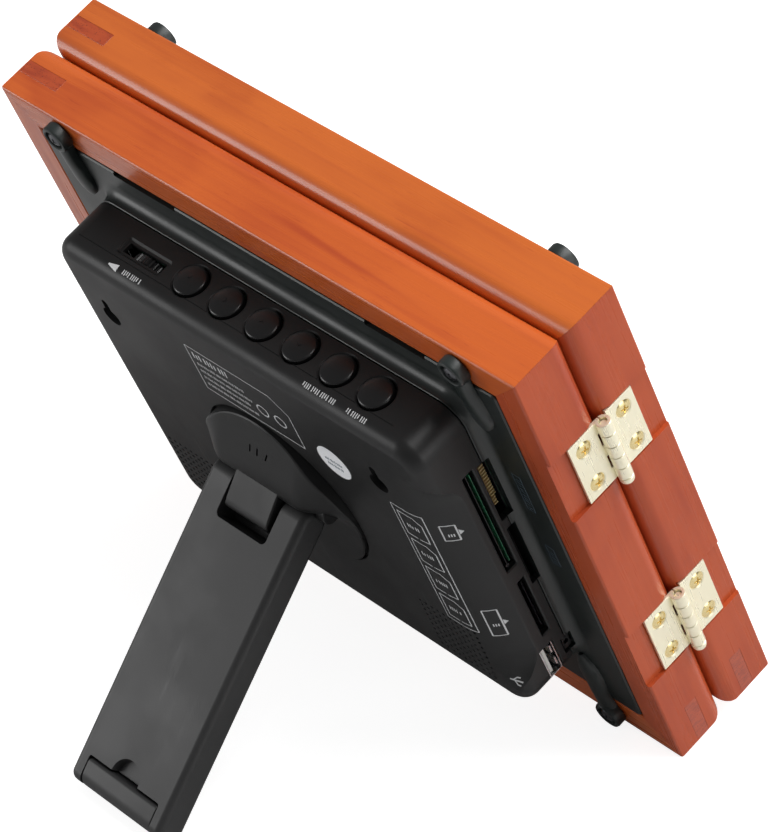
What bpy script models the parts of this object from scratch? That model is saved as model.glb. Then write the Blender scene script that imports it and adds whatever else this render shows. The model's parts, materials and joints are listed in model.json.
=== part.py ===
"""Digital photo frame: two hinged wooden frames, a display module and a turning stand.

The model is drawn upright in the frame's own axes (x across, y towards the back, z up the
frame, with the back lower edge of the display frame on the x axis). One empty then leans it
back on its leg and puts the middle of its footprint at the origin.
"""
import math

import bmesh
import bpy
from mathutils import Matrix, Vector

# Driving dimensions, metres
WIDTH = 0.206
HEIGHT = 0.1725
THICK = 0.0189
SEAM = 0.0003
GAP = 0.0003
HALF = WIDTH / 2
RAIL_BACK = 0.0110
RAIL_FRONT = 0.0250
REBATE = 0.0090
SEAM_ROUND = 0.0050
BACK_ROUND = 0.0008
KEY_LONG = 0.0165
KEY_DEEP = 0.0103
COVER_NEAR = -THICK - SEAM
COVER_FAR = COVER_NEAR - THICK
MID_Z = HEIGHT / 2

HINGE_Z = (0.1264, 0.0481)
MORTISE_HALF = 0.0122
MORTISE_DEEP = 0.0013
LEAF_HALF = 0.0117
LEAF_THICK = 0.0010
LEAF_WIDTH = 0.0118
BARREL_X = -HALF - 0.0012
BARREL_Y = -THICK - SEAM / 2
BARREL_R = 0.0022
PIN_R = 0.0010
KNUCKLES = 5

FLANGE = (-0.0915, 0.0912, 0.0118, 0.1606)
HOUSE = (-0.0780, 0.0693, 0.0325, 0.1504)
FLANGE_THICK = 0.0020
PARTING = 0.0042
BACK = 0.0231
WALL = 0.0020
CORNER_R = 0.0080
EDGE_R = 0.0045
FRONT_FACE = -REBATE + 0.0012

BUTTON_X = (0.0199, 0.0050, -0.0098, -0.0246, -0.0395, -0.0543)
BUTTON_Y = 0.0117
BUTTON_R = 0.0051
BUTTON_PROUD = 0.0009
BUTTON_TRAVEL = 0.0006
WHEEL_X = 0.0385
WHEEL_Y = 0.0126
WHEEL_R = 0.0085
WHEEL_THICK = 0.0030

CLIP_X = 0.0785
CLIP_EDGE = 0.0055
CLIP_LONG = 0.0260
CLIP_R = 0.0045

STAND_X = -0.0010
DISC_Z = 0.0856
DISC_R = 0.0292
DISC_PROUD = 0.0010
LEG_Y = 0.0320
LEG_Z = 0.0890
LEG_OPEN = math.radians(58.7)
LEG_LONG = 0.0980
LEG_WIDE = 0.0390
LEG_TOP = 0.0038
LEG_UNDER = -0.0067
NOTCH_WIDE = 0.0204
LUG_WIDE = 0.0176
RIDGE_WIDE = 0.0430
TIP_R = 0.0030
FLAP_AXIS = (-0.0005, -0.0940)
FLAP_R = 0.0043
FLAP_WIDE = 0.0296
FLAP_TALL = 0.0046
SCOOP_R = 0.0052

# Openings of the back shell: keyholes to hang it by, and the speaker perforations
KEYHOLE_X = 0.0552
KEYHOLE_Z = 0.1245
KEYHOLE_R = 0.0034
KEYHOLE_SLOT = 0.0013
KEYHOLE_TOP = 0.1320
GRILLE_PITCH = 0.0036
GRILLE_HOLE = 0.0007
GRILLE_Z = 0.0400
GRILLE_LEFT = 0.0430
GRILLE_RIGHT = -0.0660
GRILLE_ROWS = 6

# The panel, the mat in front of it, and the sheets laid in the cover
PANEL = (-0.0600, 0.0600, 0.0405, 0.1320)
PANEL_BACK = -0.0048
MAT_OPENING = (-0.0570, 0.0570, 0.0435, 0.1290)
FILLING = (-0.0912, 0.0912, 0.0118, 0.1607)
PRINT_SIZE = (-0.0760, 0.0760, 0.0310, 0.1415)
WINDOW = (-0.0700, 0.0700, 0.0370, 0.1355)
GLASS_THICK = 0.0018
CARD_THICK = 0.0012
PAPER_THICK = 0.0004

# Which frame axes an outline's (u, v) and its thickness lie along
FACE = Matrix(((1, 0, 0, 0), (0, 0, 1, 0), (0, 1, 0, 0), (0, 0, 0, 1)))
SIDE = Matrix(((0, 0, 1, 0), (1, 0, 0, 0), (0, 1, 0, 0), (0, 0, 0, 1)))
PLAN = Matrix.Identity(4)


def clear_scene():
    """Removes every object of the start-up scene."""
    for old in list(bpy.data.objects):
        bpy.data.objects.remove(old, do_unlink=True)


def collection(name):
    """A new collection in the scene."""
    made = bpy.data.collections.new(name)
    bpy.context.scene.collection.children.link(made)
    return made


def finish(name, colour, roughness, metallic=0.0):
    """A Principled material for one kind of surface."""
    made = bpy.data.materials.new(name)
    made.use_nodes = True
    shader = made.node_tree.nodes["Principled BSDF"]
    shader.inputs["Base Color"].default_value = (*colour, 1.0)
    shader.inputs["Roughness"].default_value = roughness
    shader.inputs["Metallic"].default_value = metallic
    made.diffuse_color = (*colour, 1.0)
    return made


def rounded_rect(u0, u1, v0, v1, radius, steps=5):
    """Corner points of a rectangle whose four corners are arcs."""
    points = []
    for cu, cv, start in (
        (u1 - radius, v1 - radius, 0), (u0 + radius, v1 - radius, 90),
        (u0 + radius, v0 + radius, 180), (u1 - radius, v0 + radius, 270),
    ):
        points += arc(cu, cv, radius, start, start + 90, steps)
    return points


def arc(cu, cv, radius, start, end, steps):
    """Points along an arc, its angles in degrees."""
    points = []
    for step in range(steps + 1):
        angle = math.radians(start + (end - start) * step / steps)
        points.append((cu + radius * math.cos(angle), cv + radius * math.sin(angle)))
    return points


def slab(outlines, low, high, axes=FACE):
    """A flat outline, with its holes, made a solid between two heights."""
    curve = bpy.data.curves.new("outline", "CURVE")
    curve.dimensions = "2D"
    curve.fill_mode = "BOTH"
    curve.extrude = (high - low) / 2
    for outline in outlines:
        spline = curve.splines.new("POLY")
        spline.points.add(len(outline) - 1)
        for point, (u, v) in zip(spline.points, outline):
            point.co = (u, v, 0, 1)
        spline.use_cyclic_u = True
    holder = bpy.data.objects.new("outline", curve)
    bpy.context.scene.collection.objects.link(holder)
    bpy.context.view_layer.update()
    graph = bpy.context.evaluated_depsgraph_get()
    mesh = bpy.data.meshes.new_from_object(holder.evaluated_get(graph))
    bpy.data.objects.remove(holder)
    bpy.data.curves.remove(curve)
    bm = bmesh.new()
    bm.from_mesh(mesh)
    bpy.data.meshes.remove(mesh)
    bmesh.ops.remove_doubles(bm, verts=bm.verts, dist=0.000005)
    bmesh.ops.dissolve_limit(bm, angle_limit=0.01, verts=bm.verts, edges=bm.edges)
    bmesh.ops.translate(bm, verts=bm.verts, vec=(0, 0, (low + high) / 2))
    bmesh.ops.transform(bm, verts=bm.verts, matrix=axes)
    bmesh.ops.recalc_face_normals(bm, faces=bm.faces)
    return bm


def brick(*boxes):
    """One mesh of boxes, each given as (x0, x1, y0, y1, z0, z1)."""
    bm = bmesh.new()
    for x0, x1, y0, y1, z0, z1 in boxes:
        middle = Matrix.Translation(((x0 + x1) / 2, (y0 + y1) / 2, (z0 + z1) / 2))
        size = Matrix.Diagonal((x1 - x0, y1 - y0, z1 - z0, 1))
        bmesh.ops.create_cube(bm, size=1.0, matrix=middle @ size)
    return bm


def rod(*runs, sides=12):
    """One mesh of round bars, each given as (start, end, radius) or with a second radius."""
    bm = bmesh.new()
    for start, end, first, *last in runs:
        start = Vector(start)
        end = Vector(end)
        along = end - start
        turn = along.to_track_quat("Z", "Y").to_matrix().to_4x4()
        bmesh.ops.create_cone(
            bm, cap_ends=True, segments=sides, radius1=first,
            radius2=last[0] if last else first, depth=along.length,
            matrix=Matrix.Translation((start + end) / 2) @ turn,
        )
    return bm


def round_edges(bm, width, steps, wanted):
    """Bevels the real corners whose two ends the test picks out."""
    picked = []
    for edge in bm.edges:
        if len(edge.link_faces) == 2 and edge.calc_face_angle() > 0.5:
            if all(wanted(vert.co) for vert in edge.verts):
                picked.append(edge)
    bmesh.ops.bevel(bm, geom=picked, offset=width, segments=steps, profile=0.5,
                    affect="EDGES", clamp_overlap=True)
    return bm


def node(name, bm, material, at=(0, 0, 0), turn=(0, 0, 0), group=None, smooth=35):
    """One named piece, its mesh drawn round its own origin."""
    mesh = bpy.data.meshes.new(name)
    bm.to_mesh(mesh)
    bm.free()
    mesh.materials.append(material)
    mesh.shade_smooth()
    mesh.set_sharp_from_angle(angle=math.radians(smooth))
    piece = bpy.data.objects.new(name, mesh)
    (group or PARTS).objects.link(piece)
    piece.parent = STAND
    piece.location = at
    piece.rotation_euler = turn
    return piece


def boolean(piece, bm, kind="DIFFERENCE", at=(0, 0, 0), turn=(0, 0, 0)):
    """Cuts or joins a piece with a hidden tool shape."""
    tool = node(f"{piece.name}_tool_{len(piece.modifiers)}", bm, TOOL, at, turn, CUTTERS)
    tool.hide_render = True
    tool.display_type = "WIRE"
    step = piece.modifiers.new(tool.name, "BOOLEAN")
    step.operation = kind
    step.solver = "EXACT"
    step.object = tool
    return piece


# ---------------------------------------------------------------- wooden frames
def rail_profile(near, far):
    """Section of a rail as (y, depth in from the outer edge); near is its seam side."""
    out = 1 if far > near else -1
    quarter = [(0, SEAM_ROUND, 5), (1, BACK_ROUND, 2)]
    points = []
    for end, radius, steps in quarter:
        y = near if end == 0 else far
        inward = out if end == 0 else -out
        bend = arc(0, 0, radius, 180, 270, steps)
        bend = [(y + inward * (radius + u), radius + v) for u, v in bend]
        points += bend if end == 0 else list(reversed(bend))
    points.append((far, RAIL_BACK))
    points.append((far - out * REBATE, RAIL_BACK))
    points.append((far - out * REBATE, RAIL_FRONT))
    points += [(near + out * u, RAIL_FRONT - v) for u, v in ((0.0012, 0), (0, 0.0012))]
    return points


def rail(name, side, near, far, material):
    """One mitred rail: its ends are drawn in by each point's depth, which makes the mitre."""
    along = HALF if side in ("top", "bottom") else MID_Z
    bm = slab([rail_profile(near, far)], -along, along, PLAN)
    for vert in bm.verts:
        y, depth, run = vert.co
        run = math.copysign(along - depth - GAP * 0.75, run)
        if side == "top":
            vert.co = (run, y, HEIGHT - depth)
        elif side == "bottom":
            vert.co = (run, y, depth)
        elif side == "left":
            vert.co = (-HALF + depth, y, MID_Z + run)
        else:
            vert.co = (HALF - depth, y, MID_Z + run)
    bmesh.ops.recalc_face_normals(bm, faces=bm.faces)
    return node(name, bm, material)


def key_boxes(near, far, grow):
    """The two end-grain keys: one down through the top rail, one in through the hinge side."""
    middle = (near + far) / 2
    y0 = middle - 0.0023 - grow
    y1 = middle + 0.0023 + grow
    deep = KEY_DEEP + grow
    top = (HALF - KEY_LONG - grow, HALF - 0.0004, y0, y1, HEIGHT - deep, HEIGHT + grow * 9)
    low = (-HALF - grow * 9, -HALF + deep, y0, y1, 0.0004, KEY_LONG + grow)
    return top, low


def wooden_frame(prefix, near, far, wood, end_grain):
    """Four mitred rails with mortises for the hinges, and the keys that lock two corners."""
    for side in ("top", "bottom", "left", "right"):
        piece = rail(f"{prefix}_rail_{side}", side, near, far, wood)
        boolean(piece, brick(*key_boxes(near, far, GAP)))
        if side == "left":
            out = math.copysign(1, far - near)
            places = [place for z in HINGE_Z for place in screw_places(z, out)]
            boolean(piece, rod(*[((-HALF - 0.001, y, h), (-HALF + 0.0045, y, h), 0.0031)
                                 for y, h in places]))
            bands = []
            for z in HINGE_Z:
                bands.append((-HALF - 0.01, -HALF + MORTISE_DEEP, min(near, far) - 0.001,
                              max(near, far) + 0.001, z - MORTISE_HALF, z + MORTISE_HALF))
            boolean(piece, brick(*bands))
    for name, box in zip(("top_key", "side_key"), key_boxes(near, far, 0)):
        node(f"{prefix}_{name}", brick(box), end_grain)


# ---------------------------------------------------------------- hinges
def knuckle_spans(z, turn):
    """The lengths of barrel that belong to one leaf: every other one of them."""
    pitch = 2 * LEAF_HALF / KNUCKLES
    spans = []
    for number in range(turn, KNUCKLES, 2):
        low = z - LEAF_HALF + number * pitch
        spans.append((low + GAP / 2, low + pitch - GAP / 2))
    return spans


def hinge_leaf(name, z, out, turn, material):
    """A leaf lying in its mortise: a plate, and knuckles rolled round the pin."""
    face = -HALF + MORTISE_DEEP - GAP
    inner = BARREL_Y + out * (BARREL_R + 0.0001)
    outer = BARREL_Y + out * (LEAF_WIDTH + 0.0005)
    y0, y1 = sorted((inner, outer))
    bm = brick((face - LEAF_THICK, face, y0, y1, z - LEAF_HALF, z + LEAF_HALF))
    piece = node(name, bm, material)
    for low, high in knuckle_spans(z, turn):
        bar = rod(((BARREL_X, BARREL_Y, low), (BARREL_X, BARREL_Y, high), BARREL_R), sides=16)
        boolean(piece, bar, "UNION")
        strap = sorted((BARREL_Y + out * 0.0012, inner + out * 0.0006))
        tab = brick((face - LEAF_THICK, face - 0.0001, strap[0], strap[1], low, high))
        boolean(piece, tab, "UNION")
    bore = rod(((BARREL_X, BARREL_Y, z - 0.02), (BARREL_X, BARREL_Y, z + 0.02),
                PIN_R + 0.0001), sides=16)
    boolean(piece, bore)
    holes = rod(*[((face - 0.0020, y, h), (face + 0.0010, y, h), 0.0034, 0.0014)
                  for y, h in screw_places(z, out)])
    return boolean(piece, holes)


def screw_places(z, out):
    """The two screws of a leaf as (y, z)."""
    return [(BARREL_Y + out * 0.0078, z + up) for up in (-0.0070, 0.0070)]


def hinge_screws(prefix, out, material):
    """Four countersunk wood screws, two to a leaf, with crossed recesses in their heads."""
    face = -HALF + MORTISE_DEEP - GAP - LEAF_THICK
    places = [place for z in HINGE_Z for place in screw_places(z, out)]
    for number, (y, z) in enumerate(places, 1):
        piece = node(f"{prefix}_hinge_screw_{number}",
                     rod(((face, y, z), (face + 0.0018, y, z), 0.0027, 0.0010)), material)
        for wide, tall in ((0.0014, 0.0003), (0.0003, 0.0014)):
            recess = (face - 0.001, face + 0.0006, y - wide, y + wide, z - tall, z + tall)
            boolean(piece, brick(recess))


# ---------------------------------------------------------------- turn-button clips
def clip_places():
    """Each clip's screw as (x, z, heading): they all point in towards the module."""
    low = CLIP_EDGE
    high = HEIGHT - CLIP_EDGE
    return [
        (CLIP_X, high, 180),
        (-CLIP_X - 0.0025, high, 184),
        (-CLIP_X, low, 10),
        (CLIP_X, low, -10),
    ]


def clip(name, x, z, heading, face, out, material):
    """A turn button: a screwed round boss, and a spoon-shaped finger cranked down on to the part."""
    waist = 0.0030
    outline = arc(0, 0, CLIP_R, 145, 395, 10)
    outline += [(waist, 0.0085), (0.0038, 0.0150)]
    outline += arc(0, CLIP_LONG - 0.0042, 0.0038, 0, 180, 8)
    outline += [(-0.0038, 0.0150), (-waist, 0.0085)]
    bm = slab([outline, arc(0, 0, 0.0016, 0, 330, 11)], GAP, 0.0036)
    for vert in bm.verts:
        if vert.co.y > 0.002 and vert.co.z > 0.012:
            vert.co.y -= 0.0009
    piece = node(name, bm, material, (x, face, z), (0, math.radians(heading), 0))
    piece.scale = (1, out, 1)
    apply_scale(piece)
    seat = rod(((0, out * 0.0022, 0), (0, out * 0.0060, 0), 0.0029))
    return boolean(piece, seat, at=piece.location)


def apply_scale(piece):
    """Works an object's mirror scale into its mesh and puts its faces the right way out."""
    bm = bmesh.new()
    bm.from_mesh(piece.data)
    bmesh.ops.scale(bm, vec=piece.scale, verts=bm.verts)
    bmesh.ops.recalc_face_normals(bm, faces=bm.faces)
    bm.to_mesh(piece.data)
    bm.free()
    piece.scale = (1, 1, 1)


# ---------------------------------------------------------------- display module
def shell(x0, x1, z0, z1, y0, y1, radius, edge, steps):
    """A rounded tray shape, its far edge rolled over."""
    bm = slab([rounded_rect(x0, x1, z0, z1, radius, steps)], y0, y1)
    return round_edges(bm, edge, steps, lambda co: abs(co.y - y1) < 0.00001)


def side_openings():
    """Card and USB openings in the back shell's hinge-side wall as (y0, y1, z0, z1)."""
    return {
        "card_large": (0.0078, 0.0116, 0.0865, 0.1290),
        "card_small": (0.0076, 0.0103, 0.0546, 0.0800),
        "usb": (0.0083, 0.0137, 0.0368, 0.0502),
    }


def parting_openings():
    """Openings that straddle the parting line, so both housings share them."""
    return {
        "card_strip": (0.0022, 0.0064, 0.1043, 0.1282),
        "card_chip": (0.0031, 0.0062, 0.0749, 0.1004),
        "power": (0.0024, 0.0062, 0.0408, 0.0474),
    }


def wall_cutter(openings):
    """Boxes through the hinge-side wall at each opening."""
    x = HOUSE[0]
    return brick(*[(x - 0.004, x + 0.006, *opening) for opening in openings.values()])


def grille_holes(x0, lean):
    """A field of small perforations through the back panel, every other row set over."""
    runs = []
    for row in range(GRILLE_ROWS):
        for column in range(GRILLE_ROWS):
            x = x0 + GRILLE_PITCH * column + lean * GRILLE_PITCH / 3 * (row % 2)
            z = GRILLE_Z + GRILLE_PITCH * row
            runs.append(((x, BACK - 0.004, z), (x, BACK + 0.002, z), GRILLE_HOLE))
    return rod(*runs, sides=4)


def keyholes(piece):
    """Two keyhole openings: a round hole for the screw's head and a slot above it."""
    low = BACK - 0.004
    high = BACK + 0.002
    places = (-KEYHOLE_X, KEYHOLE_X)
    boolean(piece, rod(*[((x, low, KEYHOLE_Z), (x, high, KEYHOLE_Z), KEYHOLE_R) for x in places]))
    boolean(piece, brick(*[(x - KEYHOLE_SLOT, x + KEYHOLE_SLOT, low, high, KEYHOLE_Z, KEYHOLE_TOP)
                           for x in places]))


def rear_cover(material):
    """The back shell of the module, with every opening that it has."""
    x0, x1, z0, z1 = HOUSE
    outside = shell(x0, x1, z0, z1, PARTING + GAP, BACK, CORNER_R, EDGE_R, 4)
    piece = node("rear_cover", outside, material)
    inside = shell(x0 + WALL, x1 - WALL, z0 + WALL, z1 - WALL, PARTING - 0.002, BACK - WALL,
                   CORNER_R - WALL, EDGE_R - WALL, 3)
    boolean(piece, inside)
    scooped = x0 + 0.0016
    beyond = x0 - 0.004
    scoop = [(beyond, 0.0115), (x0, 0.0115), (scooped, 0.0170), (scooped, 0.03), (beyond, 0.03)]
    boolean(piece, slab([scoop], 0.040, 0.134, PLAN))
    boolean(piece, wall_cutter(side_openings()))
    boolean(piece, wall_cutter(parting_openings()))
    bores = [((x, BUTTON_Y, z1 - 0.006), (x, BUTTON_Y, z1 + 0.002), BUTTON_R + GAP)
             for x in BUTTON_X]
    boolean(piece, rod(*bores, sides=20))
    boolean(piece, brick((WHEEL_X - 0.0092, WHEEL_X + 0.0092, WHEEL_Y - 0.0029, WHEEL_Y + 0.0029,
                          z1 - 0.006, z1 + 0.002)))
    keyholes(piece)
    boolean(piece, grille_holes(GRILLE_LEFT, -1))
    boolean(piece, grille_holes(GRILLE_RIGHT, 1))
    well = rod(((STAND_X, BACK - 0.0008, DISC_Z), (STAND_X, BACK + 0.002, DISC_Z), DISC_R + 0.0009),
               sides=48)
    boolean(piece, well)
    hub = rod(((STAND_X, BACK - 0.005, DISC_Z), (STAND_X, BACK, DISC_Z), 0.0093), sides=24)
    return boolean(piece, hub)


def front_housing(material):
    """The tray that fills the wooden frame: a flange, a well for the panel and a raised rim."""
    x0, x1, z0, z1 = FLANGE
    outline = rounded_rect(x0, x1, z0, z1, 0.0015, 2)
    piece = node("front_housing", slab([outline], FRONT_FACE, 0.0002), material)
    hx0, hx1, hz0, hz1 = HOUSE
    rim = slab([rounded_rect(hx0, hx1, hz0, hz1, CORNER_R, 4)], -0.001, PARTING)
    boolean(piece, rim, "UNION")
    inner = rounded_rect(hx0 + WALL, hx1 - WALL, hz0 + WALL, hz1 - WALL, CORNER_R - WALL, 4)
    boolean(piece, slab([inner], -0.0050, PARTING + 0.002))
    boolean(piece, brick((-0.0605, 0.0605, -0.012, -0.004, 0.0400, 0.1325)))
    boolean(piece, brick(*[(left, right, -0.012, 0.002, 0.1592, 0.1650)
                           for left, right in ((0.0340, 0.0600), (-0.0655, -0.0425))]))
    return boolean(piece, wall_cutter(parting_openings()))


def module(shiny, dark, board_green, steel, paper_white):
    """What the two housings hold: panel, mat, board, card reader, sockets and speakers."""
    x0, x1, z0, z1 = HOUSE
    panel = slab([rounded_rect(*PANEL, 0.0005, 1)], FRONT_FACE + 0.0006, PANEL_BACK)
    node("lcd_panel", panel, shiny)
    opening = rounded_rect(*MAT_OPENING, 0.0006, 1)
    left, right, low, high = FLANGE
    drawn_in = 0.0006
    mat = rounded_rect(left + drawn_in, right - drawn_in, low + drawn_in, high - drawn_in, 0.001, 1)
    node("display_mat", slab([mat, opening], -REBATE + GAP, FRONT_FACE - GAP), paper_white)
    board = [rounded_rect(x0 + 0.0030, x1 - 0.0030, z0 + 0.0030, z1 - 0.0140, 0.0055, 3)]
    node("main_board", slab(board, 0.0008, 0.0022), board_green)
    block = brick((x0 + 0.0025, x0 + 0.0300, 0.0066, 0.0140, 0.0530, 0.1305))
    reader = node("card_reader", block, dark)
    openings = side_openings()
    boolean(reader, brick(*[(x0 - 0.004, x0 + 0.0260, *openings[name])
                            for name in ("card_large", "card_small")]))
    y0, y1, low, high = openings["usb"]
    outer = (x0 + 0.0006, x0 + 0.0140, y0 + GAP, y1 - GAP, low + GAP, high - GAP)
    port = node("usb_port", brick(outer), steel)
    skin = 0.0007
    boolean(port, brick((x0 - 0.002, x0 + 0.0120, y0 + skin, y1 - skin, low + skin, high - skin)))
    tongue = (x0 + 0.0010, x0 + 0.0130, y0 + 0.0026, y0 + 0.0042, low + 0.0016, high - 0.0016)
    boolean(port, brick(tongue), "UNION")
    mouth = BACK - WALL - GAP
    for name, x in (("speaker_left", 0.0520), ("speaker_right", -0.0570)):
        ends = ((x, mouth, 0.0490), (x, mouth - 0.0042, 0.0490))
        node(name, rod((*ends, 0.0090, 0.0105), sides=20), dark)


def power_jack(material):
    """A square power socket in the hinge-side wall, with its round hole."""
    x = HOUSE[0]
    opening = parting_openings()["power"]
    y0, y1, z0, z1 = [edge + side * GAP for edge, side in zip(opening, (1, -1, 1, -1))]
    piece = node("power_jack", brick((x + 0.0004, x + 0.0100, y0, y1, z0, z1)), material)
    middle = ((y0 + y1) / 2, (z0 + z1) / 2)
    return boolean(piece, rod(((x - 0.002, *middle), (x + 0.007, *middle), 0.0008)))


def buttons(material):
    """Six domed push buttons standing just proud of the top face."""
    top = HOUSE[3]
    for number, x in enumerate(BUTTON_X, 1):
        bm = bmesh.new()
        profile = [(0.0, -0.0045), (BUTTON_R, -0.0045), (BUTTON_R, BUTTON_PROUD - 0.0006),
                   (BUTTON_R * 0.92, BUTTON_PROUD - 0.0002), (BUTTON_R * 0.6, BUTTON_PROUD + 0.0001),
                   (0.0, BUTTON_PROUD + 0.0003)]
        verts = [bm.verts.new((r, 0, z)) for r, z in profile]
        for first, second in zip(verts, verts[1:]):
            bm.edges.new((first, second))
        bmesh.ops.spin(bm, geom=bm.verts[:] + bm.edges[:], cent=(0, 0, 0), axis=(0, 0, 1),
                       angle=math.tau, steps=20, use_merge=True)
        bmesh.ops.remove_doubles(bm, verts=bm.verts, dist=0.00001)
        bmesh.ops.recalc_face_normals(bm, faces=bm.faces)
        node(f"button_{number}", bm, material, (x, BUTTON_Y, top))


def volume_wheel(material):
    """A ribbed thumbwheel with its own axle stubs, its rim just under the recess mouth."""
    top = HOUSE[3]
    centre = (WHEEL_X, WHEEL_Y, top - WHEEL_R - 0.0012)
    teeth = 24
    outline = []
    for number in range(teeth * 2):
        radius = WHEEL_R if number % 2 else WHEEL_R - 0.0005
        angle = math.tau * number / (teeth * 2)
        outline.append((radius * math.cos(angle), radius * math.sin(angle)))
    wheel = slab([outline], -WHEEL_THICK / 2, WHEEL_THICK / 2)
    piece = node("volume_wheel", wheel, material, centre)
    boolean(piece, rod(((0, -0.0025, 0), (0, 0.0025, 0), 0.0012)), "UNION", centre)


# ---------------------------------------------------------------- stand
def stand_disc(material):
    """The turning disc: flush at its top rim, rising to a ridge and a lug for the leg."""
    bm = rod(((0, -0.0005, 0), (0, DISC_PROUD, 0), DISC_R), sides=48)
    piece = node("stand_disc", bm, material, (STAND_X, BACK, DISC_Z))
    hinge_y = LEG_Y - BACK
    hinge_z = LEG_Z - DISC_Z
    ridge = (hinge_y - 0.0004, hinge_z + 0.0072)
    root = DISC_PROUD - 0.0008
    slope = [(root, DISC_R - 0.0008), ridge, (ridge[0] - 0.0020, ridge[1] - 0.0002),
             (root, ridge[1] + 0.0010)]
    wedge = slab([slope], -RIDGE_WIDE / 2, RIDGE_WIDE / 2, SIDE)
    boolean(piece, drawn_on_to_disc(wedge), "UNION", piece.location)
    lug = [(root, ridge[1] + 0.0040), (ridge[0] - 0.0002, ridge[1]),
           (hinge_y + 0.0068, hinge_z + 0.0010), (hinge_y + 0.0076, hinge_z - 0.0006),
           (hinge_y + 0.0066, hinge_z - 0.0028), (root, hinge_z - 0.0090)]
    boolean(piece, slab([lug], -LUG_WIDE / 2, LUG_WIDE / 2, SIDE), "UNION", piece.location)
    bore = rod(((-0.03, hinge_y, hinge_z), (0.03, hinge_y, hinge_z), 0.0015))
    boolean(piece, bore, at=piece.location)
    hub = rod(((0, -0.0035, 0), (0, 0.0002, 0), 0.0090), sides=24)
    boolean(piece, hub, "UNION", piece.location)
    strokes = [(left, left + 0.0008, 0.0022, 0.0040, 0.0180, 0.0215)
               for left in (-0.0042, -0.0014, 0.0014)]
    return boolean(piece, brick(*strokes), at=piece.location)


def drawn_on_to_disc(wedge):
    """Pulls the corners of the sloping block that lie beyond the disc in to its rim."""
    for vert in wedge.verts:
        reach = math.hypot(vert.co.x, vert.co.z)
        limit = DISC_R - 0.0006
        if reach > limit:
            vert.co.x *= math.sqrt(max(limit ** 2 - vert.co.z ** 2, 0.0)) / abs(vert.co.x)
    return wedge


def disc_retainer(material):
    """The washer that holds the disc's hub inside the back shell."""
    ends = ((STAND_X, BACK - 0.0039, DISC_Z), (STAND_X, BACK - 0.0060, DISC_Z))
    return node("disc_retainer", rod((*ends, 0.0125), sides=24), material)


def leg_outline():
    """The leg's side view as (y, z) about its hinge, folded flat and pointing down."""
    low = -LEG_LONG
    pivot = (LEG_TOP + LEG_UNDER) / 2
    points = arc(pivot, 0, (LEG_TOP - LEG_UNDER) / 2, 0, 180, 8)
    points += arc(LEG_UNDER + TIP_R, low + TIP_R, TIP_R, 180, 270, 3)
    points += arc(LEG_TOP - TIP_R, low + TIP_R, TIP_R, 270, 360, 3)
    return points


def leg(material):
    """The prop leg: a rounded bar with a fork round the lug and a pocket for its foot flap."""
    place = (STAND_X, LEG_Y, LEG_Z)
    turn = (LEG_OPEN, 0, 0)
    half = LEG_WIDE / 2
    bm = slab([leg_outline()], -half, half, SIDE)
    round_edges(bm, 0.0010, 2, lambda co: abs(abs(co.x) - half) < 0.00001)
    piece = node("leg", bm, material, place, turn)
    side = NOTCH_WIDE / 2
    chamfer = 0.0016
    notch = [(-side, 0.02), (-side, -0.0090), (-side + chamfer, -0.0106),
             (side - chamfer, -0.0106), (side, -0.0090), (side, 0.02)]
    boolean(piece, slab([notch], -0.02, 0.02), at=place, turn=turn)
    y, z = FLAP_AXIS
    room = FLAP_WIDE / 2 + GAP
    head = z + FLAP_TALL + GAP * 2
    bed = [(-0.0018, head), (0.010, head), (0.010, -0.110), (y - FLAP_R - GAP, -0.110)]
    pocket = slab([bed + arc(y, z, FLAP_R + GAP, 180, 110, 5)], -room, room, SIDE)
    boolean(piece, pocket, at=place, turn=turn)
    scoop = rod(((0, 0.0012, head), (0, 0.010, head), SCOOP_R), sides=16)
    boolean(piece, scoop, at=place, turn=turn)
    bore = rod(((-0.016, 0, 0), (0.016, 0, 0), 0.0016))
    boolean(piece, bore, at=place, turn=turn)
    sockets = rod(((-room - 0.0016, y, z), (room + 0.0016, y, z), 0.0013))
    return boolean(piece, sockets, at=place, turn=turn)


def foot_flap(material):
    """The small flap let into the leg's foot, which swings out on two stubs."""
    y, z = FLAP_AXIS
    half = FLAP_WIDE / 2
    top = LEG_TOP - y
    outline = arc(0, 0, top, 0, -180, 8)
    outline += [(-0.0009, FLAP_TALL / 2), (-0.0007, FLAP_TALL), (top, FLAP_TALL)]
    turn = Matrix.Rotation(LEG_OPEN, 4, "X")
    hinge = Vector((STAND_X, LEG_Y, LEG_Z)) + turn @ Vector((0, y, z))
    bm = slab([outline], -half, half, SIDE)
    piece = node("foot_flap", bm, material, hinge, (LEG_OPEN, 0, 0))
    stubs = rod(((-half - 0.0013, 0, 0), (half + 0.0013, 0, 0), 0.0011))
    boolean(piece, stubs, "UNION", hinge, (LEG_OPEN, 0, 0))
    return piece


# ---------------------------------------------------------------- picture side of the cover
def cover_filling(clear, print_paper, card, board):
    """Glass, picture, mat and backing board, laid in the cover's rebate from behind."""
    full = rounded_rect(*FILLING, 0.0005, 1)
    window = rounded_rect(*WINDOW, 0.0005, 1)
    print_edge = rounded_rect(*PRINT_SIZE, 0.0005, 1)
    y = COVER_FAR + REBATE - GAP
    node("glass_pane", slab([full], y - GLASS_THICK, y), clear)
    y -= GLASS_THICK + GAP
    node("picture_mat", slab([full, window], y - CARD_THICK, y), card)
    y -= CARD_THICK + GAP
    node("photo_print", slab([print_edge], y - PAPER_THICK, y), print_paper)
    y -= PAPER_THICK + GAP
    node("backing_board", slab([full], COVER_FAR + 0.0004, y), board)


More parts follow.
